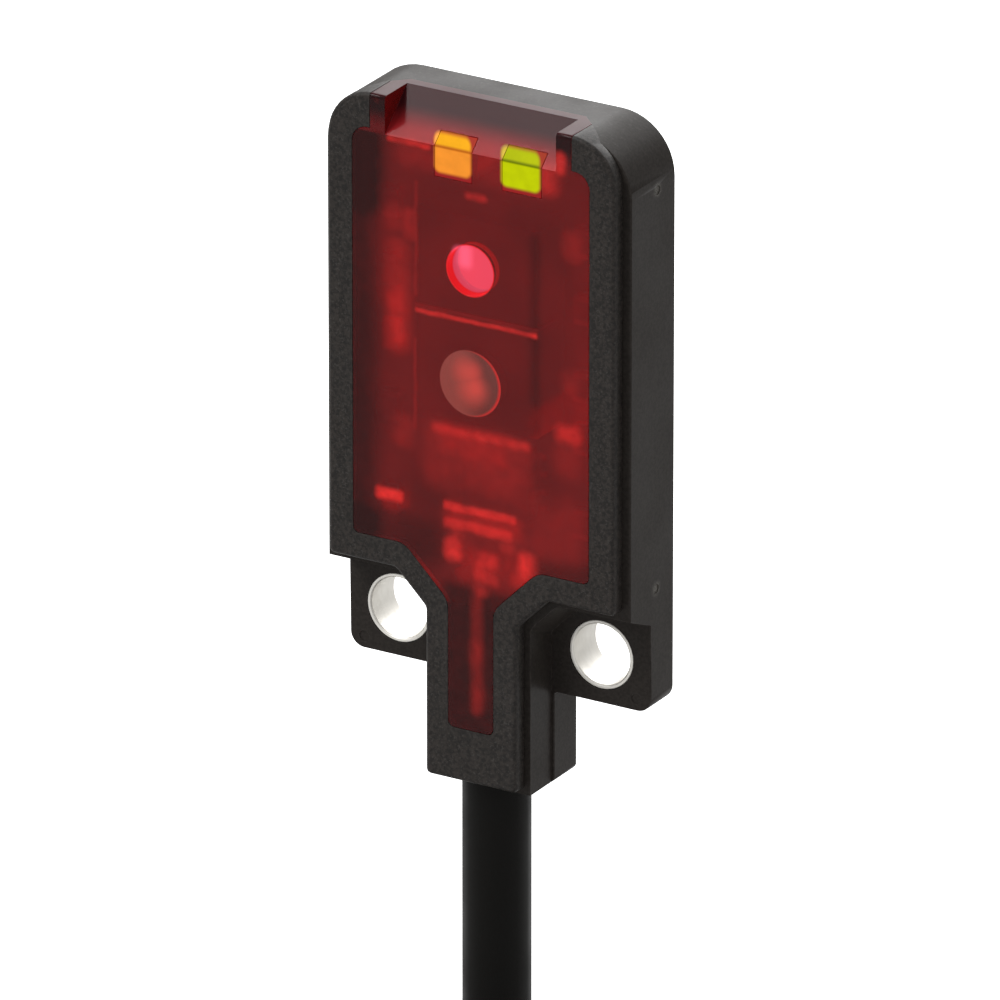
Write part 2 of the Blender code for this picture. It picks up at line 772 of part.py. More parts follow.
def cable_inside():
    colours = {"brown": (0.12, 0.05, 0.02), "blue": (0.02, 0.1, 0.4), "black": (0.02, 0.02, 0.02)}
    seat = -(BOARD_FRONT + FIT + WIRE_D / 2)
    for i, (name, colour) in enumerate(colours.items()):
        side = i - 1
        top_x = side * SOLDER_PITCH
        knots = [
            (side * WIRE_PITCH, CABLE_Y, CABLE_INNER_END + FIT),
            (side * WIRE_PITCH, CABLE_Y, SEAL_TOP + 0.2),
            (side * WIRE_PITCH, seat, BOARD_TONGUE_BOTTOM),
            (side * WIRE_FAN, seat, CAVITY_BOTTOM - CAVITY_GUSSET),
            (top_x, seat, WIRE_TOP),
        ]
        wire = tube(f"conductor_{name}", smooth_route(knots, 2 * WIRE_D / 3), WIRE_D)
        finish(wire, colour, 0.45)
        bm = bmesh.new()
        bmesh.ops.create_uvsphere(bm, u_segments=12, v_segments=8, radius=SOLDER_R * MM)
        spot = (top_x, -(BOARD_FRONT + FIT + SOLDER_R), WIRE_TOP + 2 * FIT + SOLDER_R)
        finish(from_bmesh(f"solder_{name}", bm, spot), (0.7, 0.7, 0.72), 0.25, 1.0)
    seal = box(
        "cable_seal",
        (FIT - CAVITY_STEM_HALF, CAVITY_STEM_HALF - FIT),
        (LIP_LONG - RIM + BOARD_GAP, -BACK_WALL - FIT),
        (CABLE_INNER_END + FIT, SEAL_TOP),
    )
    for i in range(3):
        x = (i - 1) * WIRE_PITCH
        hole = rod(
            f"seal_hole_{i + 1}",
            WIRE_D / 2 + FIT,
            (x, CABLE_Y, CABLE_INNER_END - 1),
            (x, CABLE_Y, SEAL_TOP + 1),
            24,
        )
        cut(seal, hole)
    finish(seal, (0.06, 0.06, 0.065), 0.35)


def coil_place(degrees, radius, y):
    """A point of the coil, which hangs in a plane parallel to the sensor's back."""
    angle = math.radians(degrees)
    return (radius * math.cos(angle), y, COIL_CENTRE_Z + radius * math.sin(angle))


def lead_place(turn):
    """A point of the lead where it has turned through an angle on its way into the coil."""
    x = -LEAD_BEND_R * (1 - math.cos(turn))
    z = LEAD_BEND_START - LEAD_BEND_R * math.sin(turn)
    outer_y = COIL_CENTRE_Y + COIL_COLUMN * (COIL_COLUMNS - 1) / 2
    return (x, CABLE_Y + (outer_y - CABLE_Y) * turn / LEAD_JOIN, z)


def lead_clearance(turn):
    """Gap between the coil and the lower corner of a lead that ends at this angle."""
    x, _, z = lead_place(turn)
    corner = (x + CABLE_R * math.cos(turn), z - CABLE_R * math.sin(turn) - COIL_CENTRE_Z)
    return math.hypot(*corner) - COIL_OUTER


def cable():
    stop = 0.0
    while lead_clearance(stop + 0.01) > CORD_GAP:
        stop += 0.01
    route = [(0, CABLE_Y, CABLE_INNER_END), (0, CABLE_Y, CASE_STEM_BOTTOM)]
    route += [lead_place(stop * i / 4) for i in range(5)]
    jacket = tube("cable_jacket", smooth_route(route, 2 * CABLE_D), CABLE_D)
    finish(jacket, (0.02, 0.02, 0.02), 0.55)

    edge = COIL_EDGE
    half = COIL_HALF_WIDE
    ring = [
        (COIL_INNER + edge, -half),
        (COIL_INNER, -half + edge),
        (COIL_INNER, half - edge),
        (COIL_INNER + edge, half),
        (COIL_OUTER - edge, half),
        (COIL_OUTER, half - edge),
        (COIL_OUTER, -half + edge),
        (COIL_OUTER - edge, -half),
    ]
    coil = turned("cable_coil", ring, (0, COIL_CENTRE_Y, COIL_CENTRE_Z), 48, closed=True)
    finish(coil, (0.02, 0.02, 0.02), 0.55)
    coil_ties()
    wire_ends()


def tie_outline(grow, extra):
    """Section of a band round the coil's bundle: across it, then towards the back."""
    high = (COIL_OUTER - COIL_INNER) / 2 + TIE_GAP + grow
    back = COIL_HALF_WIDE + TIE_GAP + grow
    front = -back - extra
    corner = TIE_CORNER + grow
    return rounded(
        [(high, front, corner), (high, back, corner), (-high, back, corner), (-high, front, corner)], 18
    )


def coil_ties():
    """Bands round the coil's bundle. The lower one also holds the wire ends."""
    upper, lower = TIE_ANGLES
    for name, degrees, extra in (("upper", upper, 0), ("lower", lower, WIRE_END_D + TIE_GAP)):
        centre = coil_place(degrees, (COIL_OUTER + COIL_INNER) / 2, COIL_CENTRE_Y)
        turn = (0, -math.radians(degrees), 0)
        band = flat(f"coil_tie_{name}", tie_outline(TIE_THICK, extra), TIE_WIDTH, centre, turn)
        cut(band, flat(f"tie_inside_{name}", tie_outline(0, extra), TIE_WIDTH + 1, centre, turn))
        finish(band, (0.03, 0.03, 0.03), 0.5)


def wire_ends():
    """The three leads past the stripped end of the cable, laid along the coil's front."""
    y = COIL_FRONT - TIE_GAP / 2 - WIRE_END_D / 2
    colours = {"brown": (0.12, 0.05, 0.02), "blue": (0.02, 0.1, 0.4), "black": (0.02, 0.02, 0.02)}
    for i, (name, colour) in enumerate(colours.items()):
        radius = WIRE_END_R + i * WIRE_END_STEP
        count = 24
        span = WIRE_END_STOP - WIRE_END_START
        points = [coil_place(WIRE_END_START + span * k / count, radius, y) for k in range(count + 1)]
        finish(tube(f"wire_end_{name}", points, WIRE_END_D), colour, 0.45)
        start = WIRE_END_STOP + 0.2
        bare = [coil_place(start + WIRE_TIP_DEG * k / 4, radius, y) for k in range(5)]
        finish(tube(f"wire_tip_{name}", bare, WIRE_TIP_D), (0.75, 0.72, 0.68), 0.3, 1.0)


clear_scene()
pieces = new_collection("photoelectric_sensor")
cutters = new_collection("cutters")
rear_case()
front_cover()
lens_window()
optics(optic_holder())
electronics()
sleeves()
cable_inside()
cable()
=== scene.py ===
import math

import bmesh
import bpy
from mathutils import Matrix, Vector


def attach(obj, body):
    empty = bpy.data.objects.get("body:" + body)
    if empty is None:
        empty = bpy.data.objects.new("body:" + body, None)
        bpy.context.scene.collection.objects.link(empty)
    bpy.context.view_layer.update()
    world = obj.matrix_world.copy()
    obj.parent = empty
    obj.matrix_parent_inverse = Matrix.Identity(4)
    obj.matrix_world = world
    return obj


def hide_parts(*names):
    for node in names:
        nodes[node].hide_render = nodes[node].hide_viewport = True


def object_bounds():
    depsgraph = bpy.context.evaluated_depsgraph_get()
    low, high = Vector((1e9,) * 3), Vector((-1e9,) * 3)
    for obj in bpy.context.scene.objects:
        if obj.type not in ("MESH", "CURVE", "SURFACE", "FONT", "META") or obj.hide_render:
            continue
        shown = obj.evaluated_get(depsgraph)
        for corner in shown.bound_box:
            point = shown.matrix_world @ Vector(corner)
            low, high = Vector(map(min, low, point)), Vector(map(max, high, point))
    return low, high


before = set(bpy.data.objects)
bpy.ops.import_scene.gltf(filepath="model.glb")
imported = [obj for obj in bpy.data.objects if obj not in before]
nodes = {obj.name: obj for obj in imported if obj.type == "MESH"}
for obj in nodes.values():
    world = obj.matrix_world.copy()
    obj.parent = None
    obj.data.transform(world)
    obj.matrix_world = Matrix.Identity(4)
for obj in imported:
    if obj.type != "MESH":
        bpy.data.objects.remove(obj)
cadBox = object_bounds()
mm = 0.001
scene = bpy.context.scene


# Camera, at the angle the photograph was taken from
cameraSettings = {
    "azimuth": 30.74,
    "elevation": 22.47,
    "distance": 588,
    "lens": 622,  # a long lens on a 36 mm sensor
    "aimRight": -0.788,  # the view's centre, from the sensor's origin
    "aimUp": 3.944,
}


def addCamera(settings):
    azimuth = math.radians(settings["azimuth"])
    elevation = math.radians(settings["elevation"])
    flat = math.cos(elevation)
    back = Vector((math.sin(azimuth) * flat, -math.cos(azimuth) * flat, math.sin(elevation)))
    right = Vector((math.cos(azimuth), math.sin(azimuth), 0))
    aim = right * settings["aimRight"] + back.cross(right) * settings["aimUp"]
    data = bpy.data.cameras.new("camera")
    data.lens = settings["lens"]
    data.sensor_width = 36
    data.clip_start = 0.05
    data.clip_end = 20
    camera = bpy.data.objects.new("camera", data)
    camera.location = (aim + back * settings["distance"]) * mm
    camera.rotation_euler = (-back).to_track_quat("-Z", "Y").to_euler()
    scene.collection.objects.link(camera)
    scene.camera = camera


addCamera(cameraSettings)
print("camera placed")


# Shader helpers
def addNode(tree, kind, spot, **values):
    node = tree.nodes.new(kind)
    node.location = (spot[0] * 200, spot[1] * 160)
    for name, value in values.items():
        setattr(node, name, value)
    return node


def wire(tree, source, output, target, name):
    tree.links.new(source.outputs[output], target.inputs[name])


def newGroup(name, inputs, outputs):
    tree = bpy.data.node_groups.new(name, "ShaderNodeTree")
    for label, kind, value in inputs:
        socket = tree.interface.new_socket(label, in_out="INPUT", socket_type=f"NodeSocket{kind}")
        socket.default_value = value
    for label, kind in outputs:
        tree.interface.new_socket(label, in_out="OUTPUT", socket_type=f"NodeSocket{kind}")
    return tree, addNode(tree, "NodeGroupInput", (-5, 0)), addNode(tree, "NodeGroupOutput", (5, 0))


def placeGroup(tree, group, spot, **values):
    node = addNode(tree, "ShaderNodeGroup", spot, node_tree=group)
    for name, value in values.items():
        node.inputs[name].default_value = value
    return node


def objectMillimetres(tree, spot):
    coordinates = addNode(tree, "ShaderNodeTexCoord", spot)
    grown = addNode(tree, "ShaderNodeVectorMath", (spot[0] + 1, spot[1]), operation="SCALE")
    grown.inputs["Scale"].default_value = 1000
    wire(tree, coordinates, "Object", grown, 0)
    return grown


# A colour mix node has many sockets of one name, so its three used ones go by number
firstColour = 6
secondColour = 7
mixedColour = 2


def blendColours(tree, spot, factor, output, first, second):
    mix = addNode(tree, "ShaderNodeMix", spot, data_type="RGBA")
    wire(tree, factor, output, mix, 0)
    mix.inputs[firstColour].default_value = (*first, 1)
    mix.inputs[secondColour].default_value = (*second, 1)
    return mix


def overlay(tree, spot, below, mask, output, colour):
    mix = blendColours(tree, spot, mask, output, (0, 0, 0), colour)
    if below:
        wire(tree, below, mixedColour, mix, firstColour)
    return mix


def mapValue(tree, spot, source, output, fromLow, fromHigh, toLow, toHigh, smooth=False):
    node = addNode(tree, "ShaderNodeMapRange", spot)
    if smooth:
        node.interpolation_type = "SMOOTHSTEP"
    for name, value in (
        ("From Min", fromLow),
        ("From Max", fromHigh),
        ("To Min", toLow),
        ("To Max", toHigh),
    ):
        node.inputs[name].default_value = value
    wire(tree, source, output, node, "Value")
    return node


def combineValues(tree, spot, operation, first, firstOut, second, secondOut):
    node = addNode(tree, "ShaderNodeMath", spot, operation=operation)
    wire(tree, first, firstOut, node, 0)
    wire(tree, second, secondOut, node, 1)
    return node


def combineVectors(tree, spot, operation, first, firstOut, second, secondOut):
    node = addNode(tree, "ShaderNodeVectorMath", spot, operation=operation)
    wire(tree, first, firstOut, node, 0)
    wire(tree, second, secondOut, node, 1)
    return node


def splitAxes(tree, spot, source, output=0):
    node = addNode(tree, "ShaderNodeSeparateXYZ", spot)
    wire(tree, source, output, node, 0)
    return node


def addNoise(tree, spot, place, detail, scale=5.0, rough=0.5):
    noise = addNode(tree, "ShaderNodeTexNoise", spot)
    noise.inputs["Scale"].default_value = scale
    noise.inputs["Detail"].default_value = detail
    noise.inputs["Roughness"].default_value = rough
    wire(tree, place, 0, noise, "Vector")
    return noise


# How far a place is outside a box, as a share of the box's softness
def shareOutside(tree, spot, given, place, output):
    column, row = spot
    away = combineVectors(tree, (column, row), "SUBTRACT", place, output, given, "Centre")
    size = addNode(tree, "ShaderNodeVectorMath", (column + 1, row), operation="ABSOLUTE")
    wire(tree, away, 0, size, 0)
    over = combineVectors(tree, (column + 2, row), "SUBTRACT", size, 0, given, "Half Size")
    outside = addNode(tree, "ShaderNodeVectorMath", (column + 3, row), operation="MAXIMUM")
    wire(tree, over, 0, outside, 0)
    gap = addNode(tree, "ShaderNodeVectorMath", (column + 4, row), operation="LENGTH")
    wire(tree, outside, 0, gap, 0)
    return combineValues(tree, (column + 5, row), "DIVIDE", gap, "Value", given, "Softness")


# Moulded plastic: a fine pebbled skin with a few lighter specks in it
def makeMouldGrain():
    tree, given, made = newGroup(
        "mouldGrain",
        (("Scale", "Float", 8.0), ("Speck Scale", "Float", 14.0)),
        (("Height", "Float"), ("Speck", "Float"), ("Cloud", "Float")),
    )
    place = objectMillimetres(tree, (-4, 0))
    pebble = addNoise(tree, (-1, 2), place, 3, rough=0.62)
    wire(tree, given, "Scale", pebble, "Scale")
    speck = addNoise(tree, (-1, 0), place, 1)
    wire(tree, given, "Speck Scale", speck, "Scale")
    picked = mapValue(tree, (1, 0), speck, 0, 0.58, 0.74, 0, 1, True)
    cloud = addNoise(tree, (-1, -2), place, 4, 0.35)
    soft = mapValue(tree, (1, -2), cloud, 0, 0.3, 0.7, 0, 1, True)
    wire(tree, pebble, 0, made, "Height")
    wire(tree, picked, 0, made, "Speck")
    wire(tree, soft, 0, made, "Cloud")
    return tree


# Edges that handling has rubbed: where the rounded normal leaves the true one
def makeEdgeWear():
    tree, given, made = newGroup(
        "edgeWear",
        (("Radius", "Float", 0.00012), ("Amount", "Float", 1.0)),
        (("Mask", "Float"),),
    )
    rounded = addNode(tree, "ShaderNodeBevel", (-3, 1), samples=4)
    wire(tree, given, "Radius", rounded, "Radius")
    true = addNode(tree, "ShaderNodeNewGeometry", (-3, -1))
    match = combineVectors(tree, (-2, 0), "DOT_PRODUCT", rounded, "Normal", true, "Normal")
    edge = mapValue(tree, (-1, 0), match, "Value", 0.995, 0.8, 0, 1, True)
    place = objectMillimetres(tree, (-4, -3))
    broken = addNoise(tree, (-2, -3), place, 4, 3.5)
    gaps = mapValue(tree, (-1, -3), broken, 0, 0.35, 0.62, 0.15, 1, True)
    worn = combineValues(tree, (1, 0), "MULTIPLY", edge, 0, gaps, 0)
    scaled = combineValues(tree, (3, 0), "MULTIPLY", worn, 0, given, "Amount")
    wire(tree, scaled, 0, made, "Mask")
    return tree


# A soft-edged box of light or shade at a place on the sensor, in millimetres
def makeSoftPatch():
    tree, given, made = newGroup(
        "softPatch",
        (
            ("Place", "Vector", (0, 0, 0)),
            ("Centre", "Vector", (0, 0, 0)),
            ("Half Size", "Vector", (1, 1, 1)),
            ("Softness", "Float", 0.3),
        ),
        (("Mask", "Float"),),
    )
    share = shareOutside(tree, (-2, 1), given, given, "Place")
    fade = mapValue(tree, (4, 0), share, 0, 0, 1, 1, 0, True)
    wire(tree, fade, 0, made, "Mask")
    return tree


# A round spot on the sensor's front, with a crisp or a soft edge
def makeRoundSpot():
    tree, given, made = newGroup(
        "roundSpot",
        (("Centre", "Vector", (0, 0, 0)), ("Radius", "Float", 1.0), ("Edge", "Float", 0.03)),
        (("Mask", "Float"),),
    )
    place = objectMillimetres(tree, (-4, 1))
    away = combineVectors(tree, (-2, 1), "SUBTRACT", place, 0, given, "Centre")
    flat = addNode(tree, "ShaderNodeVectorMath", (-1, 1), operation="MULTIPLY")
    flat.inputs[1].default_value = (1, 0, 1)
    wire(tree, away, 0, flat, 0)
    reach = addNode(tree, "ShaderNodeVectorMath", (0, 1), operation="LENGTH")
    wire(tree, flat, 0, reach, 0)
    inside = combineValues(tree, (1, 0), "SUBTRACT", given, "Radius", reach, "Value")
    share = combineValues(tree, (2, 0), "DIVIDE", inside, 0, given, "Edge")
    fade = mapValue(tree, (3, 0), share, 0, -0.5, 0.5, 0, 1, True)
    wire(tree, fade, 0, made, "Mask")
    return tree


# Fine dust that settles on what faces up
def makeDustFilm():
    tree, given, made = newGroup("dustFilm", (("Amount", "Float", 0.1),), (("Mask", "Float"),))
    facing = addNode(tree, "ShaderNodeNewGeometry", (-3, 1))
    split = splitAxes(tree, (-2, 1), facing, "Normal")
    up = mapValue(tree, (-1, 1), split, "Z", 0.2, 0.95, 0.12, 1, True)
    place = objectMillimetres(tree, (-4, -1))
    grains = addNoise(tree, (-2, -1), place, 8, 5.5, 0.75)
    spots = mapValue(tree, (-1, -1), grains, 0, 0.52, 0.75, 0, 1, True)
    settled = combineValues(tree, (1, 0), "MULTIPLY", up, 0, spots, 0)
    scaled = combineValues(tree, (3, 0), "MULTIPLY", settled, 0, given, "Amount")
    wire(tree, scaled, 0, made, "Mask")
    return tree


# Lines left by a tool or a die, long one way and fine the other
def makeDrawnLines():
    tree, given, made = newGroup(
        "drawnLines", (("Stretch", "Vector", (20, 0.6, 20)),), (("Height", "Float"),)
    )
    place = objectMillimetres(tree, (-4, 0))
    pulled = combineVectors(tree, (-2, 0), "MULTIPLY", place, 0, given, "Stretch")
    lines = addNoise(tree, (-1, 0), pulled, 3, 1)
    wire(tree, lines, 0, made, "Height")
    return tree


mouldGrain = makeMouldGrain()
edgeWear = makeEdgeWear()
softPatch = makeSoftPatch()
roundSpot = makeRoundSpot()
dustFilm = makeDustFilm()
drawnLines = makeDrawnLines()


def boxAt(tree, spot, place, centre, half, softness):
    node = placeGroup(tree, softPatch, spot, Softness=softness)
    node.inputs["Centre"].default_value = (centre[0], -3, centre[1])
    node.inputs["Half Size"].default_value = (half[0], 3, half[1])
    wire(tree, place, 0, node, "Place")
    return node


def spotAt(tree, spot, centre, radius, edge):
    node = placeGroup(tree, roundSpot, spot, Radius=radius, Edge=edge)
    node.inputs["Centre"].default_value = (centre[0], 0, centre[1])
    return node


# Red light in the window's front: x, z, half width, half height, softness in mm, brightness
windowGlow = (
    (0.2, 12.01, 2.30, 0.0, 0.15, 0.60),  # along the barrier
    (2.5, 12.01, 0.03, 0.0, 0.20, 0.22),
    (-2.16, 9.3, 0.0, 1.6, 0.12, 0.10),  # round the holder
    (-2.12, 14.6, 0.0, 2.0, 0.14, 0.10),
    (-2.35, 15.05, 0.03, 0.35, 0.38, 0.20),
    (0.4, 7.88, 1.75, 0.0, 0.32, 0.28),
    (1.2, 7.95, 0.90, 0.0, 0.30, 0.16),
    (0.3, 6.9, 1.50, 0.6, 1.10, 0.17),
    (-2.80, 12.4, 0.02, 1.6, 0.75, 0.17),  # left of the holder
    (-2.90, 12.1, 0.02, 0.05, 0.50, 0.16),
    (-2.85, 11.1, 0.02, 0.25, 0.50, 0.16),
    (-2.98, 15.2, 0.05, 0.1, 0.60, 0.12),
    (-2.6, 7.5, 0.05, 0.2, 0.70, 0.14),
    (0.23, 16.53, 0.30, 0.0, 0.24, 0.36),  # round the indicators
    (0.3, 17.75, 2.70, 0.15, 0.85, 0.14),
    (-2.4, 17.97, 0.75, 0.0, 0.18, 0.50),
    (3.5, 18.4, 0.02, 0.22, 0.36, 0.62),
    (3.05, 17.7, 0.05, 0.2, 0.55, 0.30),
    (3.81, 8.68, 0.24, 0.04, 0.50, 0.46),  # right of the holder
    (3.80, 7.7, 0.10, 0.2, 0.80, 0.12),
    (4.0, 15.5, 0.05, 0.2, 0.60, 0.16),
    (3.9, 10.6, 0.02, 0.1, 0.60, 0.12),
    (3.3, 5.0, 0.50, 0.6, 1.30, 0.10),
    (-3.20, 5.05, 0.38, 0.08, 0.26, 0.82),  # chip on the left
    (0.36, 5.13, 1.32, 0.05, 0.20, 0.50),  # two rows of pins
    (0.29, 4.50, 1.24, 0.06, 0.24, 0.40),
    (0.5, 4.7, 1.10, 0.2, 0.80, 0.15),
    (-0.70, 3.57, 0.05, 0.12, 0.50, 0.84),  # solder joints
    (-0.45, 4.15, 0.0, 0.0, 0.40, 0.24),
    (0.69, 3.40, 0.10, 0.02, 0.50, 0.44),
    (0.30, 3.05, 0.0, 0.05, 0.40, 0.24),
    (1.45, 4.1, 0.05, 0.0, 0.42, 0.26),
    (2.22, 3.58, 0.06, 0.18, 0.52, 0.74),
    (2.0, 2.95, 0.10, 0.06, 0.42, 0.28),
    (0.62, 2.76, 0.30, 0.03, 0.34, 0.34),
    (0.45, 2.28, 0.10, 0.0, 0.36, 0.26),
    (0.7, 3.2, 0.70, 0.3, 0.90, 0.10),
    (0.25, 0.05, 0.0, 2.2, 0.42, 0.20),  # down the stem
    (0.25, -0.05, 0.0, 0.15, 0.60, 0.10),
    (0.35, -1.7, 0.0, 0.2, 0.60, 0.07),
)
windowShade = (
    (2.52, 12.0, 0.02, 3.4, 0.42, 0.50),  # the holder's right edge
    (-4.6, 10.0, 0.30, 8.0, 1.20, 0.85),
    (-4.2, 16.8, 0.50, 1.2, 0.80, 0.60),
    (-3.0, 3.6, 1.50, 0.4, 0.80, 0.55),
    (-1.9, 4.4, 0.50, 1.0, 0.80, 0.15),
    (3.9, 3.4, 0.90, 0.3, 0.70, 0.55),
    (0.3, -0.6, 1.10, 2.7, 0.50, 0.90),
)

# Red light on what is inside, in the same order
insideGlow = (
    (-4.27, 10.4, 0.15, 0.90, 0.60, 0.85),
    (-4.3, 13.0, 0.20, 1.8, 0.90, 0.40),
    (-4.4, 3.95, 0.45, 0.16, 0.35, 1.20),
    (-0.9, 3.8, 1.30, 0.30, 0.40, 1.20),
    (-1.0, 6.6, 1.30, 0.22, 0.45, 0.90),
    (-0.6, 2.2, 1.50, 0.30, 0.50, 1.10),
    (2.7, 8.3, 0.40, 0.70, 0.45, 0.90),
    (3.9, 11.5, 0.40, 4.50, 1.20, 0.30),
    (0.15, -0.6, 0.18, 2.30, 0.32, 0.70),
)


# how far noise bends the patches, in mm, and between what shares it dims them
glowUneven = {"ripple": 0.16, "rippleScale": 1.3, "mottleScale": 2.2, "shares": (0.45, 1.1)}


def makeLampGlow(name, patches):
    tree, given, made = newGroup(name, (("Uneven", "Float", 1.0),), (("Mask", "Float"),))
    place = objectMillimetres(tree, (-9, 0))
    ripple = addNoise(tree, (-7, -2), place, 2, glowUneven["rippleScale"])
    centred = addNode(tree, "ShaderNodeVectorMath", (-6, -2), operation="SUBTRACT")
    centred.inputs[1].default_value = (0.5, 0.5, 0.5)
    wire(tree, ripple, "Color", centred, 0)
    pushed = addNode(tree, "ShaderNodeVectorMath", (-5, -2), operation="SCALE")
    pushed.inputs["Scale"].default_value = glowUneven["ripple"]
    wire(tree, centred, 0, pushed, 0)
    bent = combineVectors(tree, (-4, 0), "ADD", place, 0, pushed, 0)
    total = None
    for i, (x, z, wide, high, soft, strength) in enumerate(patches):
        patch = boxAt(tree, (-3, 8 - i), bent, (x, z), (wide, high), soft)
        scaled = addNode(tree, "ShaderNodeMath", (-2, 8 - i), operation="MULTIPLY")
        scaled.inputs[1].default_value = strength
        wire(tree, patch, "Mask", scaled, 0)
        if total:
            total = combineValues(tree, (-1 + i * 0.2, 8 - i), "ADD", total, 0, scaled, 0)
        else:
            total = scaled
    mottle = addNoise(tree, (-2, -14), place, 3, glowUneven["mottleScale"])
    blotches = mapValue(tree, (-1, -14), mottle, 0, 0.3, 0.65, *glowUneven["shares"])
    even = addNode(tree, "ShaderNodeMix", (1, -14))
    even.inputs[2].default_value = 1
    wire(tree, given, "Uneven", even, 0)
    wire(tree, blotches, 0, even, 3)
    shown = combineValues(tree, (4, 0), "MULTIPLY", total, 0, even, 0)
    wire(tree, shown, 0, made, "Mask")
    return tree


lampGlow = makeLampGlow("lampGlow", insideGlow)
frontGlow = makeLampGlow("frontGlow", windowGlow)
frontShade = makeLampGlow("frontShade", windowShade)


# A lit indicator: a soft square that leans where the window slopes back, so that it looks
# upright from the photograph's angle
def makeIndicatorLight():
    tree, given, made = newGroup(
        "indicatorLight",
        (
            ("Centre", "Vector", (0, 0, 0)),
            ("Half Size", "Vector", (0.6, 9, 0.5)),
            ("Front", "Color", (1, 1, 1, 1)),
            ("Slope", "Color", (1, 1, 1, 1)),
            ("Fold", "Color", (0, 0, 0, 1)),
            ("Fold Height", "Float", 18.08),
            ("Lean", "Float", 0.638),
            ("Softness", "Float", 0.3),
        ),
        (("Colour", "Color"), ("Mask", "Float")),
    )
    place = objectMillimetres(tree, (-4, 2))
    split = splitAxes(tree, (-2, 2), place)
    above = combineValues(tree, (-1, 1), "SUBTRACT", split, "Z", given, "Fold Height")
    rise = mapValue(tree, (0, 1), above, 0, 0, 5, 0, 5)
    shift = combineValues(tree, (1, 1), "MULTIPLY", rise, 0, given, "Lean")
    across = combineValues(tree, (2, 2), "ADD", split, "X", shift, 0)
    upright = addNode(tree, "ShaderNodeCombineXYZ", (3, 2))
    wire(tree, across, 0, upright, "X")
    wire(tree, split, "Z", upright, "Z")
    share = shareOutside(tree, (4, 2), given, upright, 0)
    mask = mapValue(tree, (10, 2), share, 0, 0.45, 1, 1, 0, True)
    lean = mapValue(tree, (3, -1), above, 0, -0.02, 0.04, 0, 1, True)
    body = addNode(tree, "ShaderNodeMix", (5, -1), data_type="RGBA")
    wire(tree, lean, 0, body, 0)
    wire(tree, given, "Front", body, firstColour)
    wire(tree, given, "Slope", body, secondColour)
    fromFold = addNode(tree, "ShaderNodeMath", (3, -3), operation="ABSOLUTE")
    wire(tree, above, 0, fromFold, 0)
    line = mapValue(tree, (4, -3), fromFold, 0, 0.0, 0.085, 1, 0, True)
    folded = addNode(tree, "ShaderNodeMix", (7, -1), data_type="RGBA")
    wire(tree, line, 0, folded, 0)
    wire(tree, body, mixedColour, folded, firstColour)
    wire(tree, given, "Fold", folded, secondColour)
    mottle = addNoise(tree, (5, -4), place, 2, 2.5)
    uneven = mapValue(tree, (7, -4), mottle, 0, 0.3, 0.7, 0.92, 1.03)
    lit = addNode(tree, "ShaderNodeMix", (9, -1), data_type="RGBA", blend_type="MULTIPLY")
    lit.inputs[0].default_value = 1
    wire(tree, folded, mixedColour, lit, firstColour)
    wire(tree, uneven, 0, lit, secondColour)
    made.location = (2600, 0)
    wire(tree, lit, mixedColour, made, "Colour")
    wire(tree, mask, 0, made, "Mask")
    return tree


indicatorLight = makeIndicatorLight()
indicators = {
    "orange": {
        "front": (0.93, 0.305, 0.030),
        "slope": (0.95, 0.43, 0.008),
        "fold": (0.50, 0.125, 0.006),
        "middle": (-0.685, 17.79),
        "half": (0.49, 0.42),
    },
    "green": {
        "front": (0.53, 0.62, 0.001),
        "slope": (0.45, 0.52, 0.001),
        "fold": (0.14, 0.19, 0),
        "middle": (1.96, 17.80),
        "half": (0.53, 0.42),
    },
}


def lightAt(tree, spot, name):
    colours = indicators[name]
    node = placeGroup(tree, indicatorLight, spot)
    node.inputs["Centre"].default_value = (colours["middle"][0], 0, colours["middle"][1])
    node.inputs["Half Size"].default_value = (colours["half"][0], 9, colours["half"][1])
    for label in ("front", "slope", "fold"):
        node.inputs[label.title()].default_value = (*colours[label], 1)
    return node


def newFinish(name, colour, roughness, **values):
    material = bpy.data.materials.new(name)
    material.use_nodes = True
    material.diffuse_color = (*colour, 1)
    shader = material.node_tree.nodes["Principled BSDF"]
    shader.location = (1600, 0)
    material.node_tree.nodes["Material Output"].location = (2000, 0)
    shader.inputs["Base Color"].default_value = (*colour, 1)
    shader.inputs["Roughness"].default_value = roughness
    for label, value in values.items():
        shader.inputs[label.replace("_", " ")].default_value = value
    material.cycles.emission_sampling = "NONE"  # a glow is seen, but isn't a lamp
    return material, material.node_tree, shader


def addBump(tree, shader, source, output, strength, distance):
    bump = addNode(tree, "ShaderNodeBump", (6, -3))
    bump.inputs["Strength"].default_value = strength
    bump.inputs["Distance"].default_value = distance * mm
    wire(tree, source, output, bump, "Height")
    wire(tree, bump, 0, shader, "Normal")
    return bump


def addRoughness(tree, shader, spot, source, output, low, high, fromLow=0, fromHigh=1):
    rough = mapValue(tree, spot, source, output, fromLow, fromHigh, low, high)
    wire(tree, rough, 0, shader, "Roughness")


# The red light that what is inside gives off
innerLight = {"colour": (1.0, 0.03, 0.02), "share": 0.4}


def glowThrough(tree, shader, strength):
    glow = placeGroup(tree, lampGlow, (3, -5))
    tint = blendColours(tree, (5, -5), glow, "Mask", (0, 0, 0), innerLight["colour"])
    wire(tree, tint, mixedColour, shader, "Emission Color")
    shader.inputs["Emission Strength"].default_value = strength * innerLight["share"]


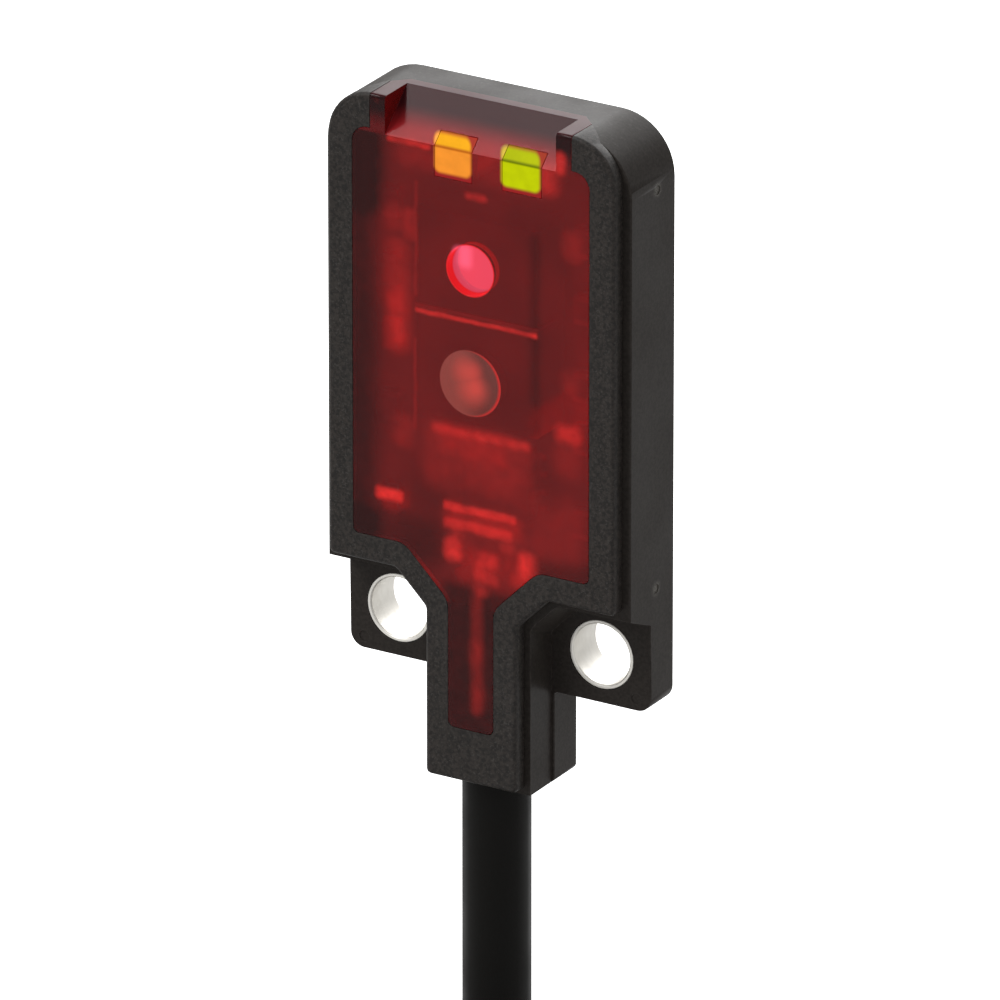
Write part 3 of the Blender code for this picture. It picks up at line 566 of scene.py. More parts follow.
# Moulded plastics of the case, the cover and the small inner parts
mouldings = {
    "casePlastic": {
        "colour": (0.0255, 0.0218, 0.0193),
        "speck": (0.03, 0.027, 0.024),
        "speckAmount": 0.3,
        "mottle": (0.85, 1.15),
        "gloss": 0.05,
        "rough": (0.34, 0.46),
        "grain": 10.0,
        "bump": 0.3,
        "depth": 0.005,
        "wear": 0.35,
        "dust": 0.10,
    },
    "coverPlastic": {
        "colour": (0.0155, 0.0126, 0.0108),
        "speck": (0.055, 0.051, 0.047),
        "speckAmount": 0.5,
        "mottle": (0.5, 1.6),
        "gloss": 0.2,
        "rough": (0.44, 0.58),
        "grain": 9.0,
        "bump": 0.6,
        "depth": 0.012,
        "wear": 0.45,
        "dust": 0.06,
    },
    "innerPlastic": {
        "colour": (0.02, 0.009, 0.009),
        "speck": (0.05, 0.02, 0.02),
        "speckAmount": 0.3,
        "mottle": (0.8, 1.2),
        "gloss": 0.3,
        "rough": (0.4, 0.5),
        "grain": 9.0,
        "bump": 0.2,
        "depth": 0.004,
        "wear": 0.2,
        "dust": 0.0,
    },
    "bandNylon": {
        "colour": (0.016, 0.016, 0.017),
        "speck": (0.04, 0.04, 0.042),
        "speckAmount": 0.25,
        "mottle": (0.85, 1.15),
        "gloss": 0.25,
        "rough": (0.32, 0.45),
        "grain": 5.0,
        "bump": 0.2,
        "depth": 0.006,
        "wear": 0.5,
        "dust": 0.08,
    },
}


# How a rubbed edge and settled dust look on any of them
mouldingWear = {"radius": 0.00008, "paler": 2.6, "lift": 0.02, "dust": (0.3, 0.29, 0.27)}


def mouldedFinish(name):
    settings = mouldings[name]
    material, tree, shader = newFinish(name, settings["colour"], 0.5)
    shader.inputs["Specular IOR Level"].default_value = settings["gloss"]
    grain = placeGroup(tree, mouldGrain, (-1, 0))
    grain.inputs["Scale"].default_value = settings["grain"]
    grain.inputs["Speck Scale"].default_value = settings["grain"] * 1.7
    speckShare = addNode(tree, "ShaderNodeMath", (1, 1), operation="MULTIPLY")
    speckShare.inputs[1].default_value = settings["speckAmount"]
    wire(tree, grain, "Speck", speckShare, 0)
    mottle = mapValue(tree, (0, 2), grain, "Height", 0.36, 0.64, 0, 1, True)
    low, high = ([c * share for c in settings["colour"]] for share in settings["mottle"])
    body = blendColours(tree, (1, 2), mottle, 0, low, high)
    base = overlay(tree, (2, 1), body, speckShare, 0, settings["speck"])
    wear = placeGroup(
        tree, edgeWear, (1, 3), Radius=mouldingWear["radius"], Amount=settings["wear"]
    )
    pale = [c * mouldingWear["paler"] + mouldingWear["lift"] for c in settings["colour"]]
    rubbed = overlay(tree, (4, 2), base, wear, "Mask", pale)
    dust = placeGroup(tree, dustFilm, (3, 4), Amount=settings["dust"])
    dusty = overlay(tree, (6, 2), rubbed, dust, "Mask", mouldingWear["dust"])
    wire(tree, dusty, mixedColour, shader, "Base Color")
    addRoughness(tree, shader, (4, 0), grain, "Cloud", *settings["rough"])
    bump = addBump(tree, shader, grain, "Height", settings["bump"], settings["depth"])
    return material, tree, shader, bump


# Round marks where the mould's pins pushed the case out, on its back
pinMarks = {
    "places": ((-3.6, 16.6), (3.6, 16.6), (0, 9.4), (0, 3.6)),
    "radius": 0.75,
    "deep": 0.07,
}


def addPinMarks(tree, shader, bump):
    total = None
    for i, place in enumerate(pinMarks["places"]):
        spot = spotAt(tree, (3, -6 - i), place, pinMarks["radius"], 0.06)
        if total:
            total = combineValues(tree, (4, -6 - i), "MAXIMUM", total, 0, spot, "Mask")
        else:
            total = spot
    split = splitAxes(tree, (3, -10), objectMillimetres(tree, (1, -10)))
    back = mapValue(tree, (4, -10), split, "Y", -0.2, -0.1, 0, 1)
    marks = combineValues(tree, (5, -7), "MULTIPLY", total, 0, back, 0)
    sunk = addNode(tree, "ShaderNodeBump", (7, -5), invert=True)
    sunk.inputs["Distance"].default_value = pinMarks["deep"] * mm
    wire(tree, marks, 0, sunk, "Height")
    wire(tree, bump, 0, sunk, "Normal")
    wire(tree, sunk, 0, shader, "Normal")


# Pale scars round the two gate marks on the case's right side: x, y, z and reach in mm
gateScars = {
    "places": ((5.94, -1.22, 17.17), (5.94, -1.22, 2.72)),
    "reach": 0.34,
    "colour": (0.13, 0.122, 0.108),
}


def addGateScars(tree, shader):
    place = objectMillimetres(tree, (0, 7))
    torn = addNoise(tree, (2, 8), place, 2, 22)
    scratched = mapValue(tree, (3, 8), torn, 0, 0.4, 0.6, 0.3, 1, True)
    base = shader.inputs["Base Color"].links[0].from_node
    for i, centre in enumerate(gateScars["places"]):
        near = placeGroup(tree, softPatch, (3, 6 - i), Softness=gateScars["reach"])
        near.inputs["Centre"].default_value = centre
        near.inputs["Half Size"].default_value = (0.1, 0.02, 0.02)
        wire(tree, place, 0, near, "Place")
        picked = combineValues(tree, (5, 6 - i), "MULTIPLY", near, "Mask", scratched, 0)
        base = overlay(tree, (7, 4 - i), base, picked, 0, gateScars["colour"])
    wire(tree, base, mixedColour, shader, "Base Color")


casePlastic, caseTree, caseShader, caseBump = mouldedFinish("casePlastic")
addPinMarks(caseTree, caseShader, caseBump)
addGateScars(caseTree, caseShader)
coverPlastic = mouldedFinish("coverPlastic")[0]
bandNylon = mouldedFinish("bandNylon")[0]
innerPlastic, innerTree, innerShader = mouldedFinish("innerPlastic")[:3]
glowThrough(innerTree, innerShader, 1.1)


# Red window: clear plastic full of red dye, with painted shade in its front's colour. Its front also
# carries
# painted light: the light that spreads in it, the lit indicators, and what shows of the emitter and the
# receiver, with a painted reflection and a painted highlight on the receiver.
windowSettings = {
    "colour": (0.44, 0.018, 0.019),
    "deeper": (0.33, 0.014, 0.015),
    "shaded": (0.08, 0.006, 0.006),
    "litColour": (0.62, 0.020, 0.016),
    "slopeLow": (0.34, 0.016, 0.020),  # just above the fold
    "slopeHigh": (0.05, 0.008, 0.010),
    "foldReach": (18.04, 18.12),  # heights between which the front gives way to the slope
    "slopeReach": (18.3, 19.0),  # heights between which the slope darkens
    # the emitter's colours are painted light; the receiver's are a painted reflection, a painted streak
    # of light and a painted rim highlight
    "emitter": (0, 13.83),
    "emitterRadius": 0.9,
    "emitterFloorGlow": (0.56, 0.055, 0.100),
    "emitterShine": (0.78, 0.110, 0.200),
    "emitterWallGlow": (0.62, 0.008, 0.010),
    "receiver": (0, 9.75),
    "receiverRadius": 1.19,
    "receiverReflectionLeft": (0.14, 0.045, 0.036),
    "receiverReflectionRight": (0.035, 0.026, 0.021),
    "receiverLightStreak": (0.38, 0.055, 0.042),
    "receiverRimHighlight": (0.45, 0.016, 0.014),
    "glow": 1.0,
}
windowFaces = {  # how clear, how reflecting, how rough
    "redInside": (0.72, 0.24, 0.12),
    "redWindow": (0.72, 0.24, 0.12),
    "redSlope": (0.30, 0.22, 0.14),
    "redEdge": (0.30, 0.12, 0.42),
}


# The slope over the indicators goes from pink to nearly black
def slopeOver(tree, split, below):
    s = windowSettings
    onSlope = mapValue(tree, (-2, 3), split, "Z", *s["foldReach"], 0, 1, True)
    height = mapValue(tree, (-2, 4), split, "Z", *s["slopeReach"], 0, 1, True)
    slope = blendColours(tree, (-1, 4), height, 0, s["slopeLow"], s["slopeHigh"])
    coloured = addNode(tree, "ShaderNodeMix", (0, 2), data_type="RGBA")
    wire(tree, onSlope, 0, coloured, 0)
    wire(tree, below, mixedColour, coloured, firstColour)
    wire(tree, slope, mixedColour, coloured, secondColour)
    return coloured


# Emitter: painted light of its lamp in the round pocket, pink on the floor and red on the wall,
# with a painted brighter patch up to the left
def emitterOver(tree, place, lit):
    s = windowSettings
    x, z = s["emitter"]
    pocket = spotAt(tree, (-2, -2), (x, z), s["emitterRadius"] + 0.04, 0.04)
    floorDisc = spotAt(tree, (-2, -3), (x, z), s["emitterRadius"] - 0.04, 0.10)
    lit = overlay(tree, (0, -2), lit, pocket, "Mask", s["emitterWallGlow"])
    lit = overlay(tree, (1, -2), lit, floorDisc, "Mask", s["emitterFloorGlow"])
    shine = boxAt(tree, (-2, -4), place, (x - 0.38, z + 0.35), (0.05, 0.2), 0.4)
    return overlay(tree, (1, -3), lit, shine, "Mask", s["emitterShine"])


# Receiver: a painted reflection on the lens, greyish to the left and darker to the right, a painted
# red streak of light down its middle and a painted highlight on its bright right rim
def receiverOver(tree, split, lit):
    s = windowSettings
    x, z = s["receiver"]
    radius = s["receiverRadius"]
    disc = spotAt(tree, (-2, -5), (x, z), radius, 0.05)
    upper = spotAt(tree, (-4, -6), (x - 0.16, z + 0.34), 0.42, 0.8)
    lower = spotAt(tree, (-4, -7), (x + 0.06, z - 0.22), 0.46, 0.8)
    streak = combineValues(tree, (-2, -6), "MAXIMUM", upper, "Mask", lower, "Mask")
    crescent = spotAt(tree, (-2, -7), (x - 0.09, z), radius, 0.14)
    ring = combineValues(tree, (-1, -7), "SUBTRACT", disc, "Mask", crescent, "Mask")
    across = mapValue(tree, (-1, -8), split, "X", x - 0.5, x + 0.5, 0, 1, True)
    shade = blendColours(tree, (0, -8), across, 0, s["receiverReflectionLeft"], s["receiverReflectionRight"])
    lit = overlay(tree, (2, -3), lit, disc, "Mask", (0, 0, 0))
    wire(tree, shade, mixedColour, lit, secondColour)
    lit = overlay(tree, (3, -4), lit, streak, 0, s["receiverLightStreak"])
    return overlay(tree, (4, -5), lit, ring, 0, s["receiverRimHighlight"])


def windowFinish(name):
    s = windowSettings
    clearness, tint, roughness = windowFaces[name]
    material, tree, shader = newFinish(
        name, s["colour"], 0.12, Transmission_Weight=clearness, IOR=1.49
    )
    shader.inputs["Specular IOR Level"].default_value = 0.5 * tint
    shader.inputs["Specular Tint"].default_value = (tint, tint, tint, 1)
    grain = placeGroup(tree, mouldGrain, (-3, 0))
    grain.inputs["Scale"].default_value = 1.6
    clouded = blendColours(tree, (-2, 0), grain, "Cloud", s["colour"], s["deeper"])
    addRoughness(tree, shader, (2, 0), grain, "Cloud", roughness - 0.03, roughness + 0.03)
    addBump(tree, shader, grain, "Height", 0.03, 0.006)
    if name == "redInside":
        wire(tree, clouded, mixedColour, shader, "Base Color")
        return material
    shade = placeGroup(tree, frontShade, (-3, 1), Uneven=0.3)
    clouded = overlay(tree, (-1, 0), clouded, shade, "Mask", s["shaded"])
    place = objectMillimetres(tree, (-5, 3))
    split = splitAxes(tree, (-3, 3), place)
    coloured = slopeOver(tree, split, clouded)
    wire(tree, coloured, mixedColour, shader, "Base Color")

    # light spread in the window, then the two lit indicators
    glow = placeGroup(tree, frontGlow, (-4, -1), Uneven=0.7)
    lit = overlay(tree, (-3, -1), None, glow, "Mask", s["litColour"])
    for i, lamp in enumerate(("orange", "green")):
        light = lightAt(tree, (-5, -3 - i), lamp)
        lit = overlay(tree, (-2 + i, -1), lit, light, "Mask", (0, 0, 0))
        wire(tree, light, "Colour", lit, secondColour)
    lit = receiverOver(tree, split, emitterOver(tree, place, lit))
    seen = addNode(tree, "ShaderNodeNewGeometry", (3, -8))
    outer = addNode(tree, "ShaderNodeMix", (5, -5), data_type="RGBA")
    wire(tree, seen, "Backfacing", outer, 0)
    wire(tree, lit, mixedColour, outer, firstColour)
    outer.inputs[secondColour].default_value = (0, 0, 0, 1)
    wire(tree, outer, mixedColour, shader, "Emission Color")
    shader.inputs["Emission Strength"].default_value = s["glow"]
    return material


redInside, redWindow, redSlope, redEdge = (windowFinish(name) for name in windowFaces)


# The two light guides, red like the window outside their lit squares
def indicatorFinish(name):
    s = windowSettings
    material, tree, shader = newFinish(f"{name}Light", s["slopeLow"], 0.3)
    shader.inputs["Specular IOR Level"].default_value = 0.1
    shader.inputs["Specular Tint"].default_value = (*indicators[name]["slope"], 1)
    light = lightAt(tree, (0, 0), name)
    lit = overlay(tree, (2, 0), None, light, "Mask", (0, 0, 0))
    wire(tree, light, "Colour", lit, secondColour)
    wire(tree, lit, mixedColour, shader, "Emission Color")
    shader.inputs["Emission Strength"].default_value = 1
    body = overlay(tree, (2, 2), None, light, "Mask", [c * 0.02 for c in s["colour"]])
    body.inputs[firstColour].default_value = (*s["slopeLow"], 1)
    wire(tree, body, mixedColour, shader, "Base Color")
    return material


orangeLight = indicatorFinish("orange")
greenLight = indicatorFinish("green")


# The two optics: a clear disc with the red lamp behind it, and the receiver's dark dome. Each
# shows a soft light, given by its place off the centre, half size and softness in mm.
optics = {
    "emitterDisc": {
        "centre": windowSettings["emitter"],
        "colour": (0.5, 0.03, 0.05),
        "coat": 0.6,
        "light": ((0.12, 0.1), (0.3, 0.3), 0.5),
        "unlit": (0.85, 0.012, 0.016),
        "lit": (0.92, 0.075, 0.125),
        "strength": 0.95,
        "rough": (0.08, 0.16),
    },
    "receiverDome": {
        "centre": windowSettings["receiver"],
        "colour": (0.11, 0.038, 0.034),
        "coat": 0.4,
        "light": ((-0.05, 0), (0.04, 0.42), 0.34),
        "unlit": (0.012, 0, 0),
        "lit": (0.75, 0.04, 0.03),
        "strength": 0.55,
        "rough": (0.09, 0.2),
    },
}


def opticFinish(name):
    settings = optics[name]
    material, tree, shader = newFinish(
        name, settings["colour"], 0.12, Coat_Weight=settings["coat"]
    )
    x, z = settings["centre"]
    (right, up), half, softness = settings["light"]
    place = objectMillimetres(tree, (-3, 0))
    light = boxAt(tree, (0, 0), place, (x + right, z + up), half, softness)
    tint = blendColours(tree, (2, 0), light, "Mask", settings["unlit"], settings["lit"])
    wire(tree, tint, mixedColour, shader, "Emission Color")
    shader.inputs["Emission Strength"].default_value = settings["strength"]
    grain = placeGroup(tree, mouldGrain, (-1, -3))
    addRoughness(tree, shader, (4, -3), grain, "Cloud", *settings["rough"])
    return material


emitterDisc = opticFinish("emitterDisc")
receiverDome = opticFinish("receiverDome")


# Metals: turned sleeves, tinned parts and copper strands
metals = {
    "sleeveNickel": {"colour": (0.72, 0.70, 0.655), "rough": (0.46, 0.6), "stretch": (3, 9, 3)},
    "tin": {"colour": (0.62, 0.61, 0.6), "rough": (0.22, 0.4), "stretch": (4, 4, 4)},
    "copperStrand": {"colour": (0.83, 0.42, 0.24), "rough": (0.24, 0.4), "stretch": (2, 12, 2)},
}


def metalFinish(name):
    settings = metals[name]
    material, tree, shader = newFinish(name, settings["colour"], 0.3, Metallic=1)
    lines = placeGroup(tree, drawnLines, (0, 0))
    lines.inputs["Stretch"].default_value = settings["stretch"]
    grain = placeGroup(tree, mouldGrain, (0, 2))
    dull = blendColours(
        tree, (2, 2), grain, "Cloud", settings["colour"], [c * 0.86 for c in settings["colour"]]
    )
    wire(tree, dull, mixedColour, shader, "Base Color")
    addRoughness(tree, shader, (3, 0), lines, "Height", *settings["rough"], 0.3, 0.7)
    addBump(tree, shader, lines, "Height", 0.25, 0.004)
    return material, tree, shader


sleeveNickel = metalFinish("sleeveNickel")[0]
copperStrand = metalFinish("copperStrand")[0]
tin, tinTree, tinShader = metalFinish("tin")
glowThrough(tinTree, tinShader, 0.7)


# Vinyls: the black jacket and the three insulated wires
vinyls = {
    "jacketVinyl": {"colour": (0.006, 0.0056, 0.005), "gloss": 0.06, "rough": (0.4, 0.55), "glow": 0},
    "brownVinyl": {"colour": (0.11, 0.035, 0.012), "gloss": 0.4, "rough": (0.3, 0.42), "glow": 0.6},
    "blueVinyl": {"colour": (0.012, 0.06, 0.33), "gloss": 0.4, "rough": (0.3, 0.42), "glow": 0.6},
    "blackVinyl": {"colour": (0.01, 0.01, 0.01), "gloss": 0.25, "rough": (0.3, 0.42), "glow": 0.6},
}


vinylDust = {"amount": 0.05, "colour": (0.24, 0.23, 0.22)}


def vinylFinish(name):
    settings = vinyls[name]
    material, tree, shader = newFinish(name, settings["colour"], 0.45)
    shader.inputs["Specular IOR Level"].default_value = settings["gloss"]
    grain = placeGroup(tree, mouldGrain, (0, 0))
    grain.inputs["Scale"].default_value = 6.0
    dust = placeGroup(tree, dustFilm, (0, 3), Amount=vinylDust["amount"])
    dusty = blendColours(tree, (2, 3), dust, "Mask", settings["colour"], vinylDust["colour"])
    wire(tree, dusty, mixedColour, shader, "Base Color")
    addRoughness(tree, shader, (3, 0), grain, "Cloud", *settings["rough"])
    addBump(tree, shader, grain, "Height", 0.22, 0.006)
    if settings["glow"]:
        glowThrough(tree, shader, settings["glow"])
    return material


jacketVinyl = vinylFinish("jacketVinyl")
brownVinyl = vinylFinish("brownVinyl")
blueVinyl = vinylFinish("blueVinyl")
blackVinyl = vinylFinish("blackVinyl")


# Electronics behind the window
boardColours = {"mask": (0.03, 0.11, 0.05), "dark": (0.022, 0.085, 0.04), "track": (0.07, 0.17, 0.07)}
chipColours = {"body": (0.2, 0.17, 0.13), "ends": (0.55, 0.54, 0.53)}


def boardFinish():
    material, tree, shader = newFinish("boardLaminate", boardColours["mask"], 0.4)
    place = objectMillimetres(tree, (-3, 0))
    tracks = addNode(tree, "ShaderNodeTexBrick", (-1, 0), offset=0.37, squash=0.6)
    tracks.inputs["Scale"].default_value = 0.9
    tracks.inputs["Mortar Size"].default_value = 0.05
    for label, colour in (("Color1", "mask"), ("Color2", "dark"), ("Mortar", "track")):
        tracks.inputs[label].default_value = (*boardColours[colour], 1)
    turned = addNode(tree, "ShaderNodeMapping", (-2, 0))
    turned.inputs["Rotation"].default_value = (math.radians(90), 0, 0)
    wire(tree, place, 0, turned, "Vector")
    wire(tree, turned, 0, tracks, "Vector")
    wire(tree, tracks, "Color", shader, "Base Color")
    grain = placeGroup(tree, mouldGrain, (-1, -3))
    addRoughness(tree, shader, (4, -3), grain, "Cloud", 0.34, 0.5)
    glowThrough(tree, shader, 1.1)
    return material


def chipFinish():
    material, tree, shader = newFinish("chipCeramic", chipColours["body"], 0.5)
    across = addNode(tree, "ShaderNodeTexCoord", (-3, 0))
    split = splitAxes(tree, (-2, 0), across, "Generated")
    middle = addNode(tree, "ShaderNodeMath", (-1, 0), operation="SUBTRACT")
    middle.inputs[1].default_value = 0.5
    wire(tree, split, "Z", middle, 0)
    away = addNode(tree, "ShaderNodeMath", (0, 0), operation="ABSOLUTE")
    wire(tree, middle, 0, away, 0)
    tinned = mapValue(tree, (1, 0), away, 0, 0.29, 0.31, 0, 1, True)
    colour = blendColours(tree, (2, 0), tinned, 0, chipColours["body"], chipColours["ends"])
    wire(tree, colour, mixedColour, shader, "Base Color")
    wire(tree, tinned, 0, shader, "Metallic")
    addRoughness(tree, shader, (3, -2), tinned, 0, 0.55, 0.32)
    glowThrough(tree, shader, 1.0)
    return material


def plainInner(name, colour, roughness, glow):
    material, tree, shader = newFinish(name, colour, roughness)
    grain = placeGroup(tree, mouldGrain, (-1, 0))
    mottled = blendColours(tree, (2, 0), grain, "Cloud", colour, [c * 0.8 for c in colour])
    wire(tree, mottled, mixedColour, shader, "Base Color")
    low, high = roughness - 0.06, roughness + 0.06
    addRoughness(tree, shader, (4, 0), grain, "Height", low, high, 0.3, 0.7)
    addBump(tree, shader, grain, "Height", 0.2, 0.004)
    glowThrough(tree, shader, glow)
    return material


boardLaminate = boardFinish()
chipCeramic = chipFinish()
chipEpoxy = plainInner("chipEpoxy", (0.014, 0.013, 0.013), 0.45, 0.9)
lampPackage = plainInner("lampPackage", (0.5, 0.46, 0.38), 0.35, 0.4)
pottingResin = plainInner("pottingResin", (0.02, 0.019, 0.018), 0.3, 0.5)


# Light barrier between the two optics, lit along its front edge
barrierSettings = {"dark": (0.06, 0.002, 0.002), "lit": (1.0, 0.04, 0.02), "strength": 0.25}


def barrierFinish():
    material, tree, shader = newFinish("barrierEdge", (0.3, 0.02, 0.02), 0.35)
    place = objectMillimetres(tree, (-3, 0))
    mottle = addNoise(tree, (-1, 0), place, 2, 1.3)
    uneven = mapValue(tree, (0, 0), mottle, 0, 0.3, 0.7, 0.45, 1)
    end = boxAt(tree, (0, -2), place, (2.25, 12), (0.12, 1), 0.3)
    brighter = combineValues(tree, (1, 0), "MAXIMUM", uneven, 0, end, "Mask")
    split = splitAxes(tree, (0, 2), place)
    front = mapValue(tree, (1, 2), split, "Y", -2.72, -2.78, 0, 1)
    shown = combineValues(tree, (2, 1), "MULTIPLY", brighter, 0, front, 0)
    tint = blendColours(tree, (3, 0), shown, 0, barrierSettings["dark"], barrierSettings["lit"])
    wire(tree, tint, mixedColour, shader, "Emission Color")
    shader.inputs["Emission Strength"].default_value = barrierSettings["strength"]
    return material


barrierEdge = barrierFinish()
print("finishes made")


# Flat areas over this many square millimetres keep their own normal right up to their edges
broadFlat = 2.5


def markBroadFaces(bm):
    layer = bm.faces.layers.int.new("__mod_weightednormals_faceweight")
    waiting = set(bm.faces)
    while waiting:
        group = [waiting.pop()]
        for face in group:
            for edge in face.edges:
                for other in edge.link_faces:
                    if other in waiting and other.normal.dot(face.normal) > 0.99999:
                        waiting.discard(other)
                        group.append(other)
        if sum(face.calc_area() for face in group) > broadFlat * mm * mm:
            for face in group:
                face[layer] = 16384


# A node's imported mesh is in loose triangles; this joins them and rounds its sharp edges
def dressNode(name, node, finish, slot, rounding=0.0, keepSharp=32):
    mesh = nodes[node].data.copy()
    mesh.name = name
    bm = bmesh.new()
    bm.from_mesh(mesh)
    bmesh.ops.remove_doubles(bm, verts=bm.verts, dist=0.0015 * mm)
    bmesh.ops.dissolve_limit(
        bm, angle_limit=math.radians(0.4), verts=bm.verts, edges=bm.edges, use_dissolve_boundaries=False
    )
    bm.normal_update()
    markBroadFaces(bm)
    bm.to_mesh(mesh)
    bm.free()
    mesh.materials.clear()
    mesh.materials.append(finish)
    piece = bpy.data.objects.new(name, mesh)
    scene.collection.objects.link(piece)
    mesh.shade_smooth()
    mesh.set_sharp_from_angle(angle=math.radians(keepSharp))
    if rounding:
        bevel = piece.modifiers.new("rounding", "BEVEL")
        bevel.width = rounding * mm
        bevel.segments = 2
        bevel.limit_method = "ANGLE"
        bevel.angle_limit = math.radians(keepSharp)
        bevel.use_clamp_overlap = True
        bevel.harden_normals = True
    evened = piece.modifiers.new("evenFaces", "WEIGHTED_NORMAL")
    evened.keep_sharp = True
    evened.weight = 100
    evened.use_face_influence = True
    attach(piece, "root")
    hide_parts(node)
    return piece


dressing = (
    ("rearCase", "rear_case", casePlastic, "case_plastic", 0.05),
    ("frontCover", "front_cover", coverPlastic, "cover_plastic", 0.03),
    ("windowLens", "lens_window", redInside, "red_lens", 0.012),
    ("orangeGuide", "orange_light_guide", orangeLight, "orange_guide", 0),
    ("greenGuide", "green_light_guide", greenLight, "green_guide", 0),
    ("emitterFront", "emitter_lens", emitterDisc, "optic_lens", 0),
    ("receiverFront", "receiver_lens", receiverDome, "optic_lens", 0),
    ("opticFrame", "optic_holder", innerPlastic, "black_plastic", 0.03),
    ("opticBarrier", "light_barrier", barrierEdge, "tinned_metal", 0),
    ("leftSleeve", "mounting_sleeve_left", sleeveNickel, "sleeve_metal", 0.03),
    ("rightSleeve", "mounting_sleeve_right", sleeveNickel, "sleeve_metal", 0.03),
    ("board", "circuit_board", boardLaminate, "board_laminate", 0.02),
    ("controlChip", "control_ic", chipEpoxy, "black_plastic", 0.04),
    ("photodiode", "receiver_photodiode", chipEpoxy, "black_plastic", 0.03),
    ("emitterLamp", "emitter_led", lampPackage, "led_package", 0.03),
    ("orangeLamp", "orange_led", lampPackage, "led_package", 0.03),
    ("greenLamp", "green_led", lampPackage, "led_package", 0.03),
    ("cableSeal", "cable_seal", pottingResin, "potting", 0.03),
    ("brownConductor", "conductor_brown", brownVinyl, "brown_insulation", 0),
    ("blueConductor", "conductor_blue", blueVinyl, "blue_insulation", 0),
    ("blackConductor", "conductor_black", blackVinyl, "black_insulation", 0),
    ("brownSolder", "solder_brown", tin, "tinned_metal", 0),
    ("blueSolder", "solder_blue", tin, "tinned_metal", 0),
    ("blackSolder", "solder_black", tin, "tinned_metal", 0),
)
dressed = {settings[0]: dressNode(*settings) for settings in dressing}

# the window's front carries the light, the slope over the indicators lets less of the
# inside show, and the top edge is frosted
windowLens = dressed["windowLens"].data
for finish in (redWindow, redSlope, redEdge):
    windowLens.materials.append(finish)
slopeWay = Vector((0, -0.684, 0.729))
topEdge = 19
frontDepth = -3.1
pocketReach = windowSettings["emitterRadius"] + 0.2
emitterX, emitterZ = windowSettings["emitter"]
for face in windowLens.polygons:
    x, y, z = face.center / mm
    inPocket = math.hypot(x - emitterX, z - emitterZ) < pocketReach
    if face.normal.dot(slopeWay) > 0.98:
        face.material_index = 2
    elif face.normal.z > 0.95 and z > topEdge:
        face.material_index = 3
    elif (face.normal.y < -0.5 or inPocket) and y < frontDepth:
        face.material_index = 1
for side in ("left", "right"):
    for i in range(1, 6):
        dressNode(f"{side}Chip{i}", f"chip_{side}_{i}", chipCeramic, "chip_ceramic", 0.03)
print("nodes dressed")


# Small builders that the pieces below share
def addPiece(name, data, finish, replaced=()):
    piece = bpy.data.objects.new(name, data)
    data.materials.append(finish)
    scene.collection.objects.link(piece)
    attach(piece, "root")
    for node in replaced:
        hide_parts(node)
    return piece


def tubeCurve(name, points, diameter, bevelSteps):
    curve = bpy.data.curves.new(name, "CURVE")
    curve.dimensions = "3D"
    curve.bevel_depth = diameter / 2 * mm
    curve.bevel_resolution = bevelSteps
    curve.use_fill_caps = True
    spline = curve.splines.new("POLY")
    spline.points.add(len(points) - 1)
    for point, place in zip(spline.points, points):
        point.co = (*(Vector(place) * mm), 1)
    return curve


def smoothStep(value):
    value = min(1.0, max(0.0, value))
    return value * value * (3 - 2 * value)


# Solder tails at both sides of the control chip
pins = {
    "centre": (0, 5.7),
    "half": 1.3,
    "count": 4,
    "wide": 0.22,
    "long": 0.3,
    "thick": 0.08,
    "boardY": -0.93,
    "shoulder": -0.38,  # how far in front of the board they leave the chip
    "buried": 0.03,
}


def pinMesh():
    mesh = bpy.data.meshes.new("chipPins")
    bm = bmesh.new()
    x0, z0 = pins["centre"]
    pitch = 2 * pins["half"] / pins["count"]
    shoulder = pins["shoulder"]
    profile = ((0, shoulder), (0.12, shoulder), (0.2, -0.1), (pins["long"] + 0.12, -0.02))
    half, thick = pins["wide"] / 2, pins["thick"]
    corners = ((0, -half), (0, half), (-thick, half), (-thick, -half))
    for side in (-1, 1):
        for i in range(pins["count"]):
            z = z0 + (i - (pins["count"] - 1) / 2) * pitch
            rings = []
            for out, rise in profile:
                x = x0 + side * (pins["half"] - pins["buried"] + out)
                y = pins["boardY"] + rise
                ring = [bm.verts.new(Vector((x, y + dy, z + dz)) * mm) for dy, dz in corners]
                rings.append(ring)
            for before, after in zip(rings, rings[1:]):
                for k in range(4):
                    bm.faces.new((before[k], before[k - 1], after[k - 1], after[k]))
            bm.faces.new(rings[0])
            bm.faces.new(reversed(rings[-1]))
    bmesh.ops.recalc_face_normals(bm, faces=bm.faces)
    bm.to_mesh(mesh)
    bm.free()
    return mesh


addPiece("chipPins", pinMesh(), tin)


# Cable: straight down out of the sensor, then round a neat hanging coil
cable = {
    "diameter": 2.4,
    "length": 2.0,  # metres, of the whole pre-wired cable
    "axisY": -1.75,
    "innerEnd": -3.4,
    "exitZ": -5.15,
    "pointsPerTurn": 72,
}
coil = {
    "middleRadius": 14.0,
    "rowStep": 2.12,
    "columnStep": 2.44,
    "turnsInRow": (5, 4, 5, 4, 5),
    "centreY": -7.0,
    "centreZ": -39.7,
    "joinTurn": math.radians(70),  # how far the lead turns before it joins the coil
    "crossing": 80,  # degrees over which each turn steps across to the next
    "crossingDip": 0.32,  # how far the rows press inwards where they cross
    "lastAngle": 195,
}
outerRadius = coil["middleRadius"] + coil["rowStep"] * 2
joinDegrees = 180 - math.degrees(coil["joinTurn"])
leadRadius = outerRadius * math.cos(coil["joinTurn"]) / (1 - math.cos(coil["joinTurn"]))
leadStart = coil["centreZ"] + (outerRadius + leadRadius) * math.sin(coil["joinTurn"])


